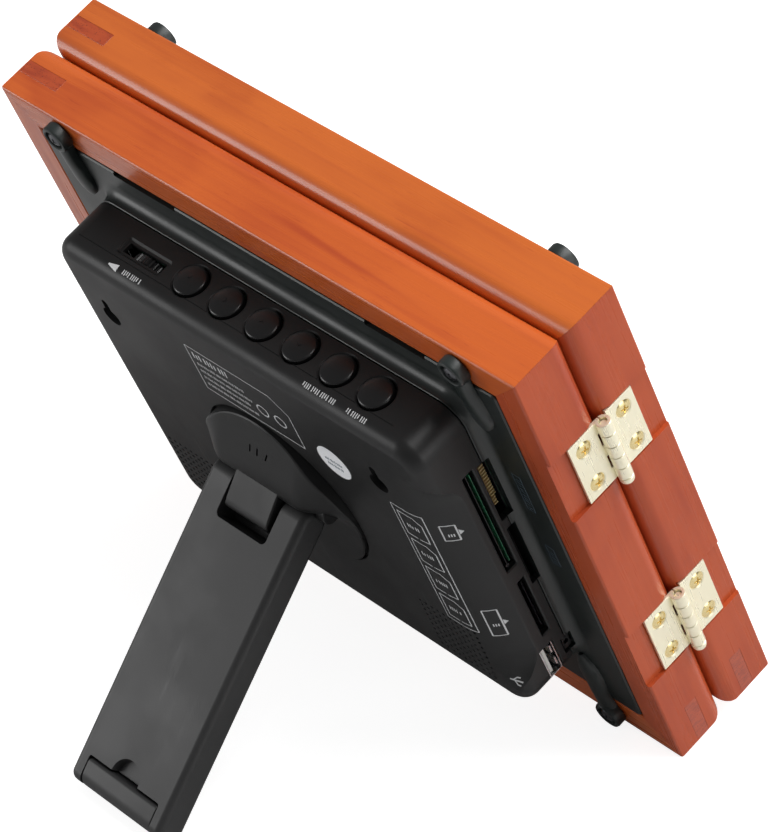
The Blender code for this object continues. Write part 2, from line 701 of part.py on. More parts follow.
def lean_back():
    """Leans the frame on its leg, then centres its footprint on the origin, standing at height 0."""
    along = Vector((0, math.sin(LEG_OPEN), -math.cos(LEG_OPEN)))
    out = Vector((0, math.cos(LEG_OPEN), math.sin(LEG_OPEN)))
    hinge = Vector((0, LEG_Y, LEG_Z))
    tip = hinge + along * (LEG_LONG - TIP_R) + out * (LEG_UNDER + TIP_R)
    edge = Vector((0, -BACK_ROUND, BACK_ROUND))
    span = tip - edge
    reach = math.hypot(span.y, span.z)
    lean = math.atan2(span.z, span.y) - math.asin((TIP_R - BACK_ROUND) / reach)
    STAND.rotation_euler = (-lean, 0, 0)
    bpy.context.view_layer.update()
    graph = bpy.context.evaluated_depsgraph_get()
    corners = []
    for piece in PARTS.objects:
        ready = piece.evaluated_get(graph)
        corners += [ready.matrix_world @ vert.co for vert in ready.data.vertices]
    low = [min(corner[axis] for corner in corners) for axis in range(3)]
    high = [max(corner[axis] for corner in corners) for axis in range(3)]
    STAND.location = (-(low[0] + high[0]) / 2, -(low[1] + high[1]) / 2, -low[2])
    bpy.context.view_layer.update()


clear_scene()
PARTS = collection("digital_photo_frame")
CUTTERS = collection("cutters")
STAND = bpy.data.objects.new("leaning_frame", None)
bpy.context.scene.collection.objects.link(STAND)
TOOL = finish("cutting_tool", (0.8, 0.2, 0.2), 0.5)

WOOD = finish("cherry_wood", (0.55, 0.16, 0.045), 0.35)
COVER_WOOD = finish("cover_cherry_wood", (0.56, 0.17, 0.05), 0.35)
END_GRAIN = finish("end_grain", (0.30, 0.06, 0.02), 0.5)
BRASS = finish("brass", (0.90, 0.78, 0.45), 0.22, 1.0)
SATIN = finish("satin_black_plastic", (0.020, 0.020, 0.021), 0.42)
HOUSING = finish("housing_plastic", (0.024, 0.028, 0.028), 0.38)
LEG_PLASTIC = finish("leg_plastic", (0.055, 0.055, 0.056), 0.45)
CLIP_PLASTIC = finish("clip_plastic", (0.03, 0.035, 0.035), 0.5)
BUTTON_PLASTIC = finish("button_plastic", (0.018, 0.018, 0.019), 0.3)
STEEL = finish("steel", (0.62, 0.62, 0.64), 0.3, 1.0)
BOARD = finish("circuit_board", (0.02, 0.16, 0.07), 0.45)
SCREEN = finish("screen", (0.012, 0.014, 0.018), 0.12)
GLASS = finish("clear_glass", (0.85, 0.92, 0.90), 0.03)
CARD = finish("mat_card", (0.86, 0.84, 0.79), 0.8)
PRINT = finish("print_paper", (0.60, 0.66, 0.72), 0.4)
FIBRE = finish("fibreboard", (0.30, 0.20, 0.12), 0.85)

wooden_frame("frame", -THICK, 0.0, WOOD, END_GRAIN)
wooden_frame("cover", COVER_NEAR, COVER_FAR, COVER_WOOD, END_GRAIN)
for label, height in zip(("upper", "lower"), HINGE_Z):
    hinge_leaf(f"{label}_hinge_leaf", height, 1, 0, BRASS)
    hinge_leaf(f"{label}_hinge_cover_leaf", height, -1, 1, BRASS)
    low_end = (BARREL_X, BARREL_Y, height - LEAF_HALF - 0.0012)
    high_end = (BARREL_X, BARREL_Y, height + LEAF_HALF - 0.0008)
    node(f"{label}_hinge_pin", rod((low_end, high_end, PIN_R), sides=16), BRASS)
hinge_screws("frame", 1, BRASS)
hinge_screws("cover", -1, BRASS)
for number, (clip_x, clip_z, heading) in enumerate(clip_places(), 1):
    clip(f"frame_clip_{number}", clip_x, clip_z, heading, 0.0, 1, CLIP_PLASTIC)
    clip(f"cover_clip_{number}", clip_x, clip_z, heading, COVER_FAR, -1, CLIP_PLASTIC)
front_housing(HOUSING)
rear_cover(SATIN)
module(SCREEN, BUTTON_PLASTIC, BOARD, STEEL, CARD)
power_jack(BUTTON_PLASTIC)
buttons(BUTTON_PLASTIC)
volume_wheel(BUTTON_PLASTIC)
stand_disc(SATIN)
disc_retainer(STEEL)
leg(LEG_PLASTIC)
foot_flap(LEG_PLASTIC)
pin_ends = [(STAND_X + side * 0.0155, LEG_Y, LEG_Z) for side in (-1, 1)]
node("leg_pin", rod((*pin_ends, 0.0012)), STEEL)
cover_filling(GLASS, PRINT, CARD, FIBRE)
lean_back()
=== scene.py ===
# %% [markdown]
# # A digital photo frame with a folding picture cover
# Two cherry frames are hinged like a book. The one on the leg holds a display in a black
# plastic module; the other holds a paper picture behind glass. The working model of rails,
# hinges, clips and stand comes in first and stays fixed, and every cell after it adds the
# shapes and finishes that the eye sees.

# %% Load the working model
import json
import math

import bmesh
import bpy
from mathutils import Matrix, Vector


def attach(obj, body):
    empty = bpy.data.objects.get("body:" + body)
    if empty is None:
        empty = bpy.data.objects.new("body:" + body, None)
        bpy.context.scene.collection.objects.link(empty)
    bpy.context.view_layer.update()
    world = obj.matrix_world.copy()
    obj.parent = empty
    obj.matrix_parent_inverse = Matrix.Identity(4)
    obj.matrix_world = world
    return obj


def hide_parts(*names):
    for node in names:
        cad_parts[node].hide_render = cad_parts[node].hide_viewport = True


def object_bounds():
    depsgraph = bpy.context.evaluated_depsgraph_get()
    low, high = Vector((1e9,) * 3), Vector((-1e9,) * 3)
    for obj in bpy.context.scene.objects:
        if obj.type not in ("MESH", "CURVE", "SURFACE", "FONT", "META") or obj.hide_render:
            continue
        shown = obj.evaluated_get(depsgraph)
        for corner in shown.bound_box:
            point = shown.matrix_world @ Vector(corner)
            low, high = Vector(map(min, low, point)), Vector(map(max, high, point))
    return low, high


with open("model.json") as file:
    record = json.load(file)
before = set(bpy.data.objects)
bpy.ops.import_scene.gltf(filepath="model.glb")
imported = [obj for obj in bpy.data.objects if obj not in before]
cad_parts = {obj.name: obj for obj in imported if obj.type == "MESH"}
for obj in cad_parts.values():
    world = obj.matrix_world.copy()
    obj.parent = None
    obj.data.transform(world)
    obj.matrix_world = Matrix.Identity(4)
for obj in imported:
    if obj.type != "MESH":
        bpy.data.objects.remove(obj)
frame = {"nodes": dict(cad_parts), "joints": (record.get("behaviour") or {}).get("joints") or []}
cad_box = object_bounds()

joints = {joint["name"]: joint for joint in frame["joints"]}

# %% [markdown]
# The frame leans back on its leg, but it is easier to draw upright. Its own axes come from
# two joints: the stand turns about the line straight out of the back, and the cover swings
# about a line down the frame. A matrix made of them takes upright drawings to the real place.

# %% The leaning axes of the frame
back_axis = Vector(joints["stand_turn"]["axis"]).normalized()
up_axis = -Vector(joints["cover_hinge"]["axis"]).normalized()
across_axis = back_axis.cross(up_axis).normalized()
turned_only = Matrix((across_axis, back_axis, up_axis)).transposed().to_4x4()


def reach(name, into):
    """The lowest and highest corners of a working piece, along other axes."""
    places = [into @ vert.co for vert in frame["nodes"][name].data.vertices]
    low = Vector([min(place[axis] for place in places) for axis in range(3)])
    high = Vector([max(place[axis] for place in places) for axis in range(3)])
    return low, high


foot_low, foot_high = reach("frame_rail_bottom", turned_only.inverted())
heel = Vector(((foot_low.x + foot_high.x) / 2, foot_high.y, foot_low.z))
LEAN = turned_only @ Matrix.Translation(heel)
UPRIGHT = LEAN.inverted()


def own_box(name):
    """Corners of a working piece in the upright axes: x across, y to the back, z up."""
    return reach(name, UPRIGHT)


def pivot(name):
    """Where a joint lies, in the upright axes."""
    return UPRIGHT @ Vector(joints[name]["pos_m"])


print("lean in degrees:", round(math.degrees(math.asin(up_axis.y)), 2))

# %% [markdown]
# A handful of small tools make every shape. A loft joins rings of points into a closed skin,
# which covers boxes, turned parts, rounded trays and bent fingers; a cut takes one shape out
# of another. Rings written by arcs keep each outline down to the few sizes it really has.

# %% Tools that make shapes
FACE = Matrix(((1, 0, 0, 0), (0, 0, 1, 0), (0, 1, 0, 0), (0, 0, 0, 1)))
SIDE = Matrix(((0, 0, 1, 0), (1, 0, 0, 0), (0, 1, 0, 0), (0, 0, 0, 1)))
TOP = Matrix.Identity(4)
HAIR = 0.00002


def arc(cu, cv, radius, start, end, steps):
    """Points along an arc, its angles in degrees."""
    angles = [math.radians(start + (end - start) * step / steps) for step in range(steps + 1)]
    return [(cu + radius * math.cos(a), cv + radius * math.sin(a)) for a in angles]


def rounded(u0, u1, v0, v1, radius, steps=6):
    """A rectangle whose four corners are arcs."""
    r = max(radius, HAIR)
    points = []
    for cu, cv, start in ((u1 - r, v1 - r, 0), (u0 + r, v1 - r, 90),
                          (u0 + r, v0 + r, 180), (u1 - r, v0 + r, 270)):
        points += arc(cu, cv, r, start, start + 90, steps)
    return points


def loft(rings):
    """Rings of points joined into one closed skin."""
    bm = bmesh.new()
    rows = [[bm.verts.new(point) for point in ring] for ring in rings]
    count = len(rows[0])
    for first, second in zip(rows, rows[1:]):
        for here in range(count):
            after = (here + 1) % count
            bm.faces.new((first[here], first[after], second[after], second[here]))
    bm.faces.new(rows[0])
    bm.faces.new(rows[-1])
    bmesh.ops.recalc_face_normals(bm, faces=bm.faces)
    return bm


def prism(outline, low, high, axes=FACE):
    """A flat outline given thickness."""
    return loft([[axes @ Vector((u, v, level)) for u, v in outline] for level in (low, high)])


def stack(u0, u1, v0, v1, radius, levels, axes=FACE, steps=6):
    """Rounded rectangles at (height, growth) levels joined up: trays, recesses and plates."""
    rings = []
    for height, grow in levels:
        ring = rounded(u0 - grow, u1 + grow, v0 - grow, v1 + grow, radius + grow, steps)
        rings.append([axes @ Vector((u, v, height)) for u, v in ring])
    return loft(rings)


def turned(profile, centre, along, sides=32):
    """A shape from the lathe: (radius, distance) pairs about a line."""
    along = Vector(along).normalized()
    spin = along.to_track_quat("Z", "Y").to_matrix()
    rings = []
    for radius, distance in profile:
        ring = []
        for side in range(sides):
            angle = math.tau * side / sides
            offset = spin @ Vector((math.cos(angle), math.sin(angle), 0)) * max(radius, HAIR)
            ring.append(Vector(centre) + along * distance + offset)
        rings.append(ring)
    return loft(rings)


def box(x0, x1, y0, y1, z0, z1):
    """A plain block, used as a tool or as the start of a piece."""
    return prism([(x0, z0), (x1, z0), (x1, z1), (x0, z1)], y0, y1)


def together(shapes):
    """Several shapes held in one mesh without joining them."""
    whole = bmesh.new()
    for shape in shapes:
        mesh = bpy.data.meshes.new("shape")
        shape.to_mesh(mesh)
        shape.free()
        whole.from_mesh(mesh)
        bpy.data.meshes.remove(mesh)
    return whole


def cut(shape, tool, kind="DIFFERENCE"):
    """One shape with another cut from it, joined to it, or kept only where both are."""
    holders = []
    for bm in (shape, tool):
        mesh = bpy.data.meshes.new("shape")
        bm.to_mesh(mesh)
        bm.free()
        holder = bpy.data.objects.new("shape", mesh)
        bpy.context.scene.collection.objects.link(holder)
        holders.append(holder)
    step = holders[0].modifiers.new("cut", "BOOLEAN")
    step.operation = kind
    step.solver = "EXACT"
    step.object = holders[1]
    bpy.context.view_layer.update()
    result = bmesh.new()
    result.from_object(holders[0], bpy.context.evaluated_depsgraph_get())
    gaps = [edge for edge in result.edges if len(edge.link_faces) == 1]
    if gaps:
        bmesh.ops.holes_fill(result, edges=gaps, sides=0)
    for holder in holders:
        mesh = holder.data
        bpy.data.objects.remove(holder)
        bpy.data.meshes.remove(mesh)
    return result


def soften(bm, width, steps=2, sharper=35, wanted=None):
    """Rounds the sharp edges over, all of them or those that a test picks."""
    bmesh.ops.remove_doubles(bm, verts=bm.verts, dist=HAIR / 4)
    bmesh.ops.dissolve_limit(bm, angle_limit=0.02, verts=bm.verts, edges=bm.edges)
    picked = []
    for edge in bm.edges:
        if len(edge.link_faces) == 2 and edge.calc_face_angle() > math.radians(sharper):
            if wanted is None or all(wanted(vert.co) for vert in edge.verts):
                picked.append(edge)
    bmesh.ops.bevel(bm, geom=picked, offset=width, segments=steps, profile=0.5,
                    affect="EDGES", clamp_overlap=True)
    return bm


def piece(name, bm, finish, body, slot, *stands_for, at=None, smooth=35):
    """Puts a shape in the scene with its finish, on its body, in place of working pieces."""
    mesh = bpy.data.meshes.new(name)
    bm.to_mesh(mesh)
    bm.free()
    mesh.materials.append(finish)
    mesh.shade_smooth()
    mesh.set_sharp_from_angle(angle=math.radians(smooth))
    made = bpy.data.objects.new(name, mesh)
    bpy.context.scene.collection.objects.link(made)
    made.matrix_world = at or LEAN
    even = made.modifiers.new("even_shading", "WEIGHTED_NORMAL")
    even.keep_sharp = True
    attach(made, body)
    if stands_for:
        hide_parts(*stands_for)
    return made


print("shape tools ready")

# %% [markdown]
# The table-top is one large pale sheet under even studio light: a soft box high on the left
# that brightens the faces turned up, a wide fill from the hinge side for the long highlights,
# and a bright surround. The camera stands far off behind the hinge side and looks down on it.

# %% Lights and camera
scene = bpy.context.scene


def lamp(name, place, target, size, power, colour=(1, 1, 1)):
    """A square soft box aimed at a point."""
    light = bpy.data.lights.new(name, "AREA")
    light.size = size
    light.energy = power
    light.color = colour
    holder = bpy.data.objects.new(name, light)
    holder.location = place
    aim = Vector(target) - Vector(place)
    holder.rotation_euler = aim.to_track_quat("-Z", "Y").to_euler()
    scene.collection.objects.link(holder)


middle = (cad_box[0] + cad_box[1]) / 2
lamp("high_soft_box", (-0.45, -0.55, 1.30), middle, 1.1, 24)
lamp("hinge_side_fill", (-1.30, -0.35, 0.40), middle, 0.7, 4)
lamp("back_fill", (1.05, 0.95, 0.40), middle, 0.7, 7)

surround = bpy.data.worlds.new("white_surround")
surround.use_nodes = True
surround.node_tree.nodes["Background"].inputs["Color"].default_value = (1, 1, 1, 1)
surround.node_tree.nodes["Background"].inputs["Strength"].default_value = 0.22
scene.world = surround
scene.view_settings.view_transform = "Standard"

camera_data = bpy.data.cameras.new("product_camera")
camera_data.lens = 187.7
camera_data.sensor_width = 36
camera_data.sensor_fit = "HORIZONTAL"
camera_data.clip_start = 0.05
camera = bpy.data.objects.new("product_camera", camera_data)
scene.collection.objects.link(camera)
stance = Vector((-0.68765, 0.51587, 0.79410))
target = Vector((0.00972, -0.03889, 0.06719))
tilt = Matrix.Rotation(math.radians(-7.064), 4, "Z")
aimed = (target - stance).to_track_quat("-Z", "Y").to_matrix().to_4x4()
camera.matrix_world = Matrix.Translation(stance) @ aimed @ tilt
scene.camera = camera
print("camera", round((target - stance).length, 3), "m from the frame")

# %% [markdown]
# Effects that several finishes share are node groups. Each takes a place on the surface and
# gives back colours, masks or heights; the shader itself stays in the material. A small
# helper adds a node and wires or sets its inputs in one line, so the recipes read like lists.

# %% Helpers for finishes


def add(tree, kind, inputs=None, **settings):
    """A node with its settings, its inputs set to values or wired to other sockets."""
    made = tree.nodes.new(kind)
    for key, value in settings.items():
        setattr(made, key, value)
    for key, value in (inputs or {}).items():
        if isinstance(value, bpy.types.NodeSocket):
            tree.links.new(value, made.inputs[key])
        else:
            made.inputs[key].default_value = value
    return made


def noise(tree, place, scale, detail=3.0, roughness=0.5, stretch=(1, 1, 1), distortion=0.0):
    """Cloudy variation, stretched along chosen directions."""
    where = add(tree, "ShaderNodeMapping", {"Vector": place, "Scale": stretch})
    return add(tree, "ShaderNodeTexNoise", {
        "Vector": where.outputs[0], "Scale": scale, "Detail": detail,
        "Roughness": roughness, "Distortion": distortion}).outputs["Fac"]


def ramp(tree, value, low, high, bottom=0.0, top=1.0):
    """A value spread from one range into another, with soft ends."""
    return add(tree, "ShaderNodeMapRange", {
        "Value": value, "From Min": low, "From Max": high, "To Min": bottom, "To Max": top},
        interpolation_type="SMOOTHSTEP").outputs["Result"]


def mix(tree, share, first, second):
    """A blend of two colours."""
    made = add(tree, "ShaderNodeMix", data_type="RGBA")
    for socket, value in ((0, share), (6, first), (7, second)):
        if isinstance(value, bpy.types.NodeSocket):
            tree.links.new(value, made.inputs[socket])
        else:
            made.inputs[socket].default_value = value
    return made.outputs[2]


def sums(tree, kind, first, second):
    """Arithmetic on two values."""
    return add(tree, "ShaderNodeMath", {0: first, 1: second}, operation=kind).outputs[0]


KINDS = {"Vector": "NodeSocketVector", "Color": "NodeSocketColor", "Float": "NodeSocketFloat"}


def node_group(name, inputs, outputs):
    """An empty group with named inputs (kind, value) and outputs."""
    tree = bpy.data.node_groups.new(name, "ShaderNodeTree")
    for label, (kind, value) in inputs.items():
        socket = tree.interface.new_socket(label, in_out="INPUT", socket_type=KINDS[kind])
        if value is not None:
            socket.default_value = value
    for label, kind in outputs.items():
        tree.interface.new_socket(label, in_out="OUTPUT", socket_type=KINDS[kind])
    return tree, tree.nodes.new("NodeGroupInput").outputs, tree.nodes.new("NodeGroupOutput").inputs


def finish(name, roughness=0.5, metallic=0.0, **numbers):
    """A new material: its tree, its shader and the place on the piece in metres."""
    made = bpy.data.materials.new(name)
    made.use_nodes = True
    tree = made.node_tree
    shader = tree.nodes["Principled BSDF"]
    shader.inputs["Roughness"].default_value = roughness
    shader.inputs["Metallic"].default_value = metallic
    for key, value in numbers.items():
        shader.inputs[key.replace("_", " ")].default_value = value
    place = add(tree, "ShaderNodeTexCoord").outputs["Object"]
    return made, tree, shader, place


def raise_by(tree, shader, height, depth, strength=1.0):
    """Small relief, with its real depth in metres."""
    relief = add(tree, "ShaderNodeBump", {"Height": height, "Distance": depth, "Strength": strength})
    tree.links.new(relief.outputs[0], shader.inputs["Normal"])


def use(tree, group, inputs):
    """A shared effect placed in a finish."""
    holder = add(tree, "ShaderNodeGroup", node_tree=group)
    for key, value in inputs.items():
        if isinstance(value, bpy.types.NodeSocket):
            tree.links.new(value, holder.inputs[key])
        else:
            holder.inputs[key].default_value = value
    return holder.outputs


print("finish helpers ready")

# %% [markdown]
# Cherry shows fine streaks along the board, broad blotches where the stain soaked in
# unevenly, a few darker figure lines and short pores. All of it hangs on a place that runs
# along the board, so each board carries its own grain whatever way it faces.

# %% Cherry grain as a shared effect
cherry, given, gives = node_group(
    "cherry_grain",
    {"Place": ("Vector", None), "Pale": ("Color", (0.6, 0.2, 0.05, 1)),
     "Deep": ("Color", (0.3, 0.06, 0.02, 1)), "Figure": ("Float", 0.5), "Blotch": ("Float", 0.5)},
    {"Colour": "Color", "Roughness": "Float", "Height": "Float"})
streaks = noise(cherry, given["Place"], 90, 5, 0.6, (0.10, 4, 4))
blotches = noise(cherry, given["Place"], 26, 3, 0.5, (0.6, 1.4, 1.4), 0.8)
flame = noise(cherry, given["Place"], 34, 2, 0.5, (0.22, 2.2, 2.2), 1.4)
pores = noise(cherry, given["Place"], 900, 2, 0.5, (0.12, 1.6, 1.6))
lines = ramp(cherry, flame, 0.60, 0.70)
deepness = sums(cherry, "MULTIPLY", ramp(cherry, streaks, 0.35, 0.75), 0.30)
deepness = sums(cherry, "ADD", deepness, sums(
    cherry, "MULTIPLY", ramp(cherry, blotches, 0.38, 0.70), given["Blotch"]))
deepness = sums(cherry, "ADD", deepness, sums(cherry, "MULTIPLY", lines, given["Figure"]))
flecks = ramp(cherry, pores, 0.66, 0.74)
deepness = sums(cherry, "ADD", deepness, sums(cherry, "MULTIPLY", flecks, 0.22))
deepness = ramp(cherry, deepness, 0.0, 1.0)
cherry.links.new(mix(cherry, deepness, given["Pale"], given["Deep"]), gives["Colour"])
cherry.links.new(ramp(cherry, streaks, 0.3, 0.7, 0.24, 0.36), gives["Roughness"])
cherry.links.new(sums(cherry, "SUBTRACT", streaks, flecks), gives["Height"])


def cherry_finish(name, pale, deep, figure, blotch, gloss=0.35):
    """Lacquered cherry in one tone."""
    made, tree, shader, _ = finish(name, 0.3, Coat_Weight=gloss, Coat_Roughness=0.16,
                                   Specular_IOR_Level=0.25 + 0.5 * gloss)
    board = add(tree, "ShaderNodeAttribute", attribute_name="along_board").outputs["Vector"]
    grain = use(tree, cherry, {"Place": board, "Pale": pale, "Deep": deep,
                               "Figure": figure, "Blotch": blotch})
    tree.links.new(grain["Colour"], shader.inputs["Base Color"])
    tree.links.new(grain["Roughness"], shader.inputs["Roughness"])
    raise_by(tree, shader, grain["Height"], 0.00003, 0.5)
    return made


FRAME_WOOD = cherry_finish("cherry_frame", (0.60, 0.118, 0.020, 1), (0.40, 0.052, 0.012, 1),
                           figure=0.22, blotch=0.45)
COVER_WOOD = cherry_finish("cherry_cover", (0.60, 0.135, 0.022, 1), (0.40, 0.062, 0.012, 1),
                           figure=0.55, blotch=0.40)
# Painted shade: the hinge-side rails take a darker, duller copy of the same cherry, so that side reads
# darker than the faces turned up.
SHADED_SIDE_WOOD = cherry_finish("cherry_hinge_side_painted_shade", (0.47, 0.078, 0.022, 1), (0.35, 0.046, 0.015, 1),
                          figure=0.20, blotch=0.40, gloss=0.06)
print("cherry finishes:", FRAME_WOOD.name, COVER_WOOD.name, SHADED_SIDE_WOOD.name)

# %% [markdown]
# End grain is where the board is cut across: it drinks more stain, so the small keys at the
# corners show as dark blocks full of open pores.

# %% End grain
END_GRAIN, tree, shader, place = finish("cherry_end_grain", 0.4, Coat_Weight=0.3, Coat_Roughness=0.2)
dots = noise(tree, place, 2600, 2, 0.5)
bands = noise(tree, place, 400, 2, 0.5, (0.2, 1, 3))
tone = mix(tree, ramp(tree, bands, 0.35, 0.7), (0.44, 0.068, 0.018, 1), (0.33, 0.044, 0.014, 1))
tone = mix(tree, ramp(tree, dots, 0.60, 0.70), tone, (0.14, 0.018, 0.008, 1))
tree.links.new(tone, shader.inputs["Base Color"])
raise_by(tree, shader, dots, 0.00003, 0.4)
print("end grain ready")

# %% [markdown]
# Moulded plastic carries the fine spark texture of its tool, a slightly uneven sheen, and
# the dust and fine rubs of handling. One group makes all three, with one spark size for every part.

# %% Moulded plastic as a shared effect
SPARKS_PER_METRE = 2600.0
SPARK_DEPTH = 0.00004
moulded, given, gives = node_group(
    "moulded_surface",
    {"Place": ("Vector", None), "Grain": ("Float", SPARKS_PER_METRE),
     "Tone": ("Color", (0.02, 0.02, 0.02, 1)), "Dusty": ("Color", (0.05, 0.05, 0.05, 1)),
     "Sheen": ("Float", 0.4), "Dust": ("Float", 0.3)},
    {"Colour": "Color", "Roughness": "Float", "Height": "Float"})
spark_place = add(moulded, "ShaderNodeVectorMath", {0: given["Place"], 3: given["Grain"]},
                  operation="SCALE").outputs[0]
sparks = add(moulded, "ShaderNodeTexNoise", {
    "Vector": spark_place, "Scale": 1.0, "Detail": 2.0}).outputs["Fac"]
patches = noise(moulded, given["Place"], 38, 3, 0.55)
specks = noise(moulded, given["Place"], 1500, 1, 0.5)
rubs = noise(moulded, given["Place"], 160, 4, 0.65, (1, 1, 0.15))
dust = sums(moulded, "MULTIPLY", ramp(moulded, specks, 0.70, 0.78), given["Dust"])
cloudy_dust = sums(moulded, "MULTIPLY", ramp(moulded, patches, 0.45, 0.75), 0.25)
dust = sums(moulded, "ADD", dust, cloudy_dust)
moulded.links.new(mix(moulded, dust, given["Tone"], given["Dusty"]), gives["Colour"])
uneven = ramp(moulded, patches, 0.3, 0.7, -0.04, 0.05)
rubbed = ramp(moulded, rubs, 0.62, 0.75, 0.0, -0.05)
sheen = sums(moulded, "ADD", given["Sheen"], sums(moulded, "ADD", uneven, rubbed))
moulded.links.new(sheen, gives["Roughness"])
moulded.links.new(sparks, gives["Height"])


def plastic_finish(name, tone, dusty, sheen, dust=0.3, **numbers):
    """A moulded part's surface in one tone."""
    made, tree, shader, place = finish(name, sheen, **numbers)
    skin = use(tree, moulded, {"Place": place, "Grain": SPARKS_PER_METRE, "Tone": (*tone, 1),
                               "Dusty": (*dusty, 1), "Sheen": sheen, "Dust": dust})
    tree.links.new(skin["Colour"], shader.inputs["Base Color"])
    tree.links.new(skin["Roughness"], shader.inputs["Roughness"])
    raise_by(tree, shader, skin["Height"], SPARK_DEPTH, 0.35)
    return made


SHELL_BLACK = plastic_finish("satin_black_shell", (0.0130, 0.0130, 0.0133), (0.024, 0.024, 0.024),
                             0.40, Specular_IOR_Level=0.30)
TRAY_BLACK = plastic_finish("tray_black", (0.009, 0.013, 0.012), (0.018, 0.023, 0.022), 0.36)
LEG_GREY = plastic_finish("leg_grey", (0.022, 0.022, 0.0225), (0.036, 0.036, 0.036), 0.47)
CLIP_BLACK = plastic_finish("clip_black", (0.013, 0.018, 0.017), (0.03, 0.035, 0.035), 0.38)
BUTTON_BLACK = plastic_finish("button_black", (0.006, 0.006, 0.0065), (0.014, 0.014, 0.014), 0.30,
                              dust=0.2)
SLOT_BLACK = plastic_finish("slot_black", (0.006, 0.006, 0.007), (0.02, 0.02, 0.02), 0.35, dust=0.4)
print("moulded finishes ready")

# %% [markdown]
# Metals: the hinges are polished brass plate with fine rolling marks and a clear lacquer, and
# their screws a yellower brass. The clip screws are dark steel, and the socket's shell is
# nickel. Thin, dull films and brushing change the roughness, never the tint by much, so the
# reflections of the surround stay clear.

# %% Metal finishes
rolled, given, gives = node_group(
    "rolled_metal",
    {"Place": ("Vector", None), "Bright": ("Color", (0.9, 0.8, 0.5, 1)),
     "Dull": ("Color", (0.7, 0.5, 0.2, 1)), "Polish": ("Float", 0.2)},
    {"Colour": "Color", "Roughness": "Float", "Height": "Float"})
brushing = noise(rolled, given["Place"], 700, 3, 0.6, (1, 1, 0.08))
film = noise(rolled, given["Place"], 120, 4, 0.6)
pits = noise(rolled, given["Place"], 1800, 2, 0.5)
spots = ramp(rolled, pits, 0.70, 0.76)
stain = sums(rolled, "ADD", ramp(rolled, film, 0.45, 0.75, 0.0, 0.55),
             sums(rolled, "MULTIPLY", spots, 0.4))
rolled.links.new(mix(rolled, stain, given["Bright"], given["Dull"]), gives["Colour"])
grey = sums(rolled, "ADD", given["Polish"], ramp(rolled, brushing, 0.3, 0.7, -0.05, 0.08))
rolled.links.new(sums(rolled, "ADD", grey, sums(rolled, "MULTIPLY", spots, 0.2)), gives["Roughness"])
rolled.links.new(sums(rolled, "SUBTRACT", brushing, spots), gives["Height"])


def metal_finish(name, bright, dull, polish, metal=1.0, marks=0.3):
    """A metal with film and rolling marks; under 1, a clear lacquer scatters some light back."""
    made, tree, shader, place = finish(name, polish, metal)
    skin = use(tree, rolled, {"Place": place, "Bright": (*bright, 1), "Dull": (*dull, 1),
                              "Polish": polish})
    tree.links.new(skin["Colour"], shader.inputs["Base Color"])
    tree.links.new(skin["Roughness"], shader.inputs["Roughness"])
    raise_by(tree, shader, skin["Height"], 0.00001, marks)
    return made


BRASS = metal_finish("polished_brass", (1.0, 0.94, 0.72), (0.97, 0.88, 0.64), 0.30,
                     metal=0.55, marks=0.03)
SCREW_BRASS = metal_finish("screw_brass", (0.90, 0.74, 0.38), (0.62, 0.44, 0.16), 0.22)
NICKEL = metal_finish("nickel", (0.74, 0.74, 0.76), (0.5, 0.5, 0.52), 0.24)
DARK_STEEL = metal_finish("dark_steel", (0.13, 0.13, 0.14), (0.06, 0.06, 0.065), 0.32)
GOLD = metal_finish("gold_contacts", (0.85, 0.70, 0.38), (0.6, 0.42, 0.16), 0.3)
print("metal finishes ready")

# %% [markdown]
# Papers and boards are fibres pressed flat: a soft mottling and a faint tooth. The mat, the
# printed marks, the sticker and the backing board all share it, and differ in tone.

# %% Paper as a shared effect
fibres, given, gives = node_group(
    "paper_fibres",
    {"Place": ("Vector", None), "Tone": ("Color", (0.8, 0.8, 0.75, 1)),
     "Fleck": ("Color", (0.6, 0.58, 0.5, 1)), "Size": ("Float", 1.0)},
    {"Colour": "Color", "Height": "Float"})
fibre_place = add(fibres, "ShaderNodeVectorMath", {0: given["Place"], 3: given["Size"]},
                  operation="SCALE").outputs[0]
tangle = noise(fibres, fibre_place, 1400, 5, 0.7, (1, 1, 0.4))
mottle = noise(fibres, fibre_place, 90, 3, 0.6)
share = sums(fibres, "MULTIPLY", ramp(fibres, tangle, 0.4, 0.8), 0.5)
share = sums(fibres, "ADD", share, ramp(fibres, mottle, 0.4, 0.8, 0.0, 0.35))
fibres.links.new(mix(fibres, share, given["Tone"], given["Fleck"]), gives["Colour"])
fibres.links.new(tangle, gives["Height"])


def paper_finish(name, tone, fleck, roughness, size=1.0, relief=0.00004):
    """A paper, card or board."""
    made, tree, shader, place = finish(name, roughness)
    skin = use(tree, fibres, {"Place": place, "Tone": (*tone, 1), "Fleck": (*fleck, 1), "Size": size})
    tree.links.new(skin["Colour"], shader.inputs["Base Color"])
    raise_by(tree, shader, skin["Height"], relief, 0.5)
    return made


MAT_CARD = paper_finish("mat_card", (0.80, 0.78, 0.72), (0.66, 0.63, 0.56), 0.85)
FIBREBOARD = paper_finish("backing_fibreboard", (0.26, 0.15, 0.08), (0.13, 0.07, 0.035), 0.85,
                          size=0.5, relief=0.0001)
WHITE_INK = paper_finish("white_ink", (0.66, 0.67, 0.68), (0.48, 0.49, 0.50), 0.55, 2.0)
BLUE_INK = paper_finish("grey_blue_ink", (0.10, 0.15, 0.20), (0.05, 0.08, 0.11), 0.5, 2.0)
STICKER = paper_finish("sticker_paper", (0.95, 0.96, 0.98), (0.86, 0.88, 0.92), 0.5, 2.0)
WHITE_TONGUE = paper_finish("socket_tongue", (0.75, 0.75, 0.72), (0.6, 0.6, 0.57), 0.4, 2.0)
print("paper finishes ready")

# %% [markdown]
# What lies inside: the dark screen under its hard coat, the clear glass over the picture, a
# green circuit board with its tracks, and the print, a plain landscape of sky and hills.

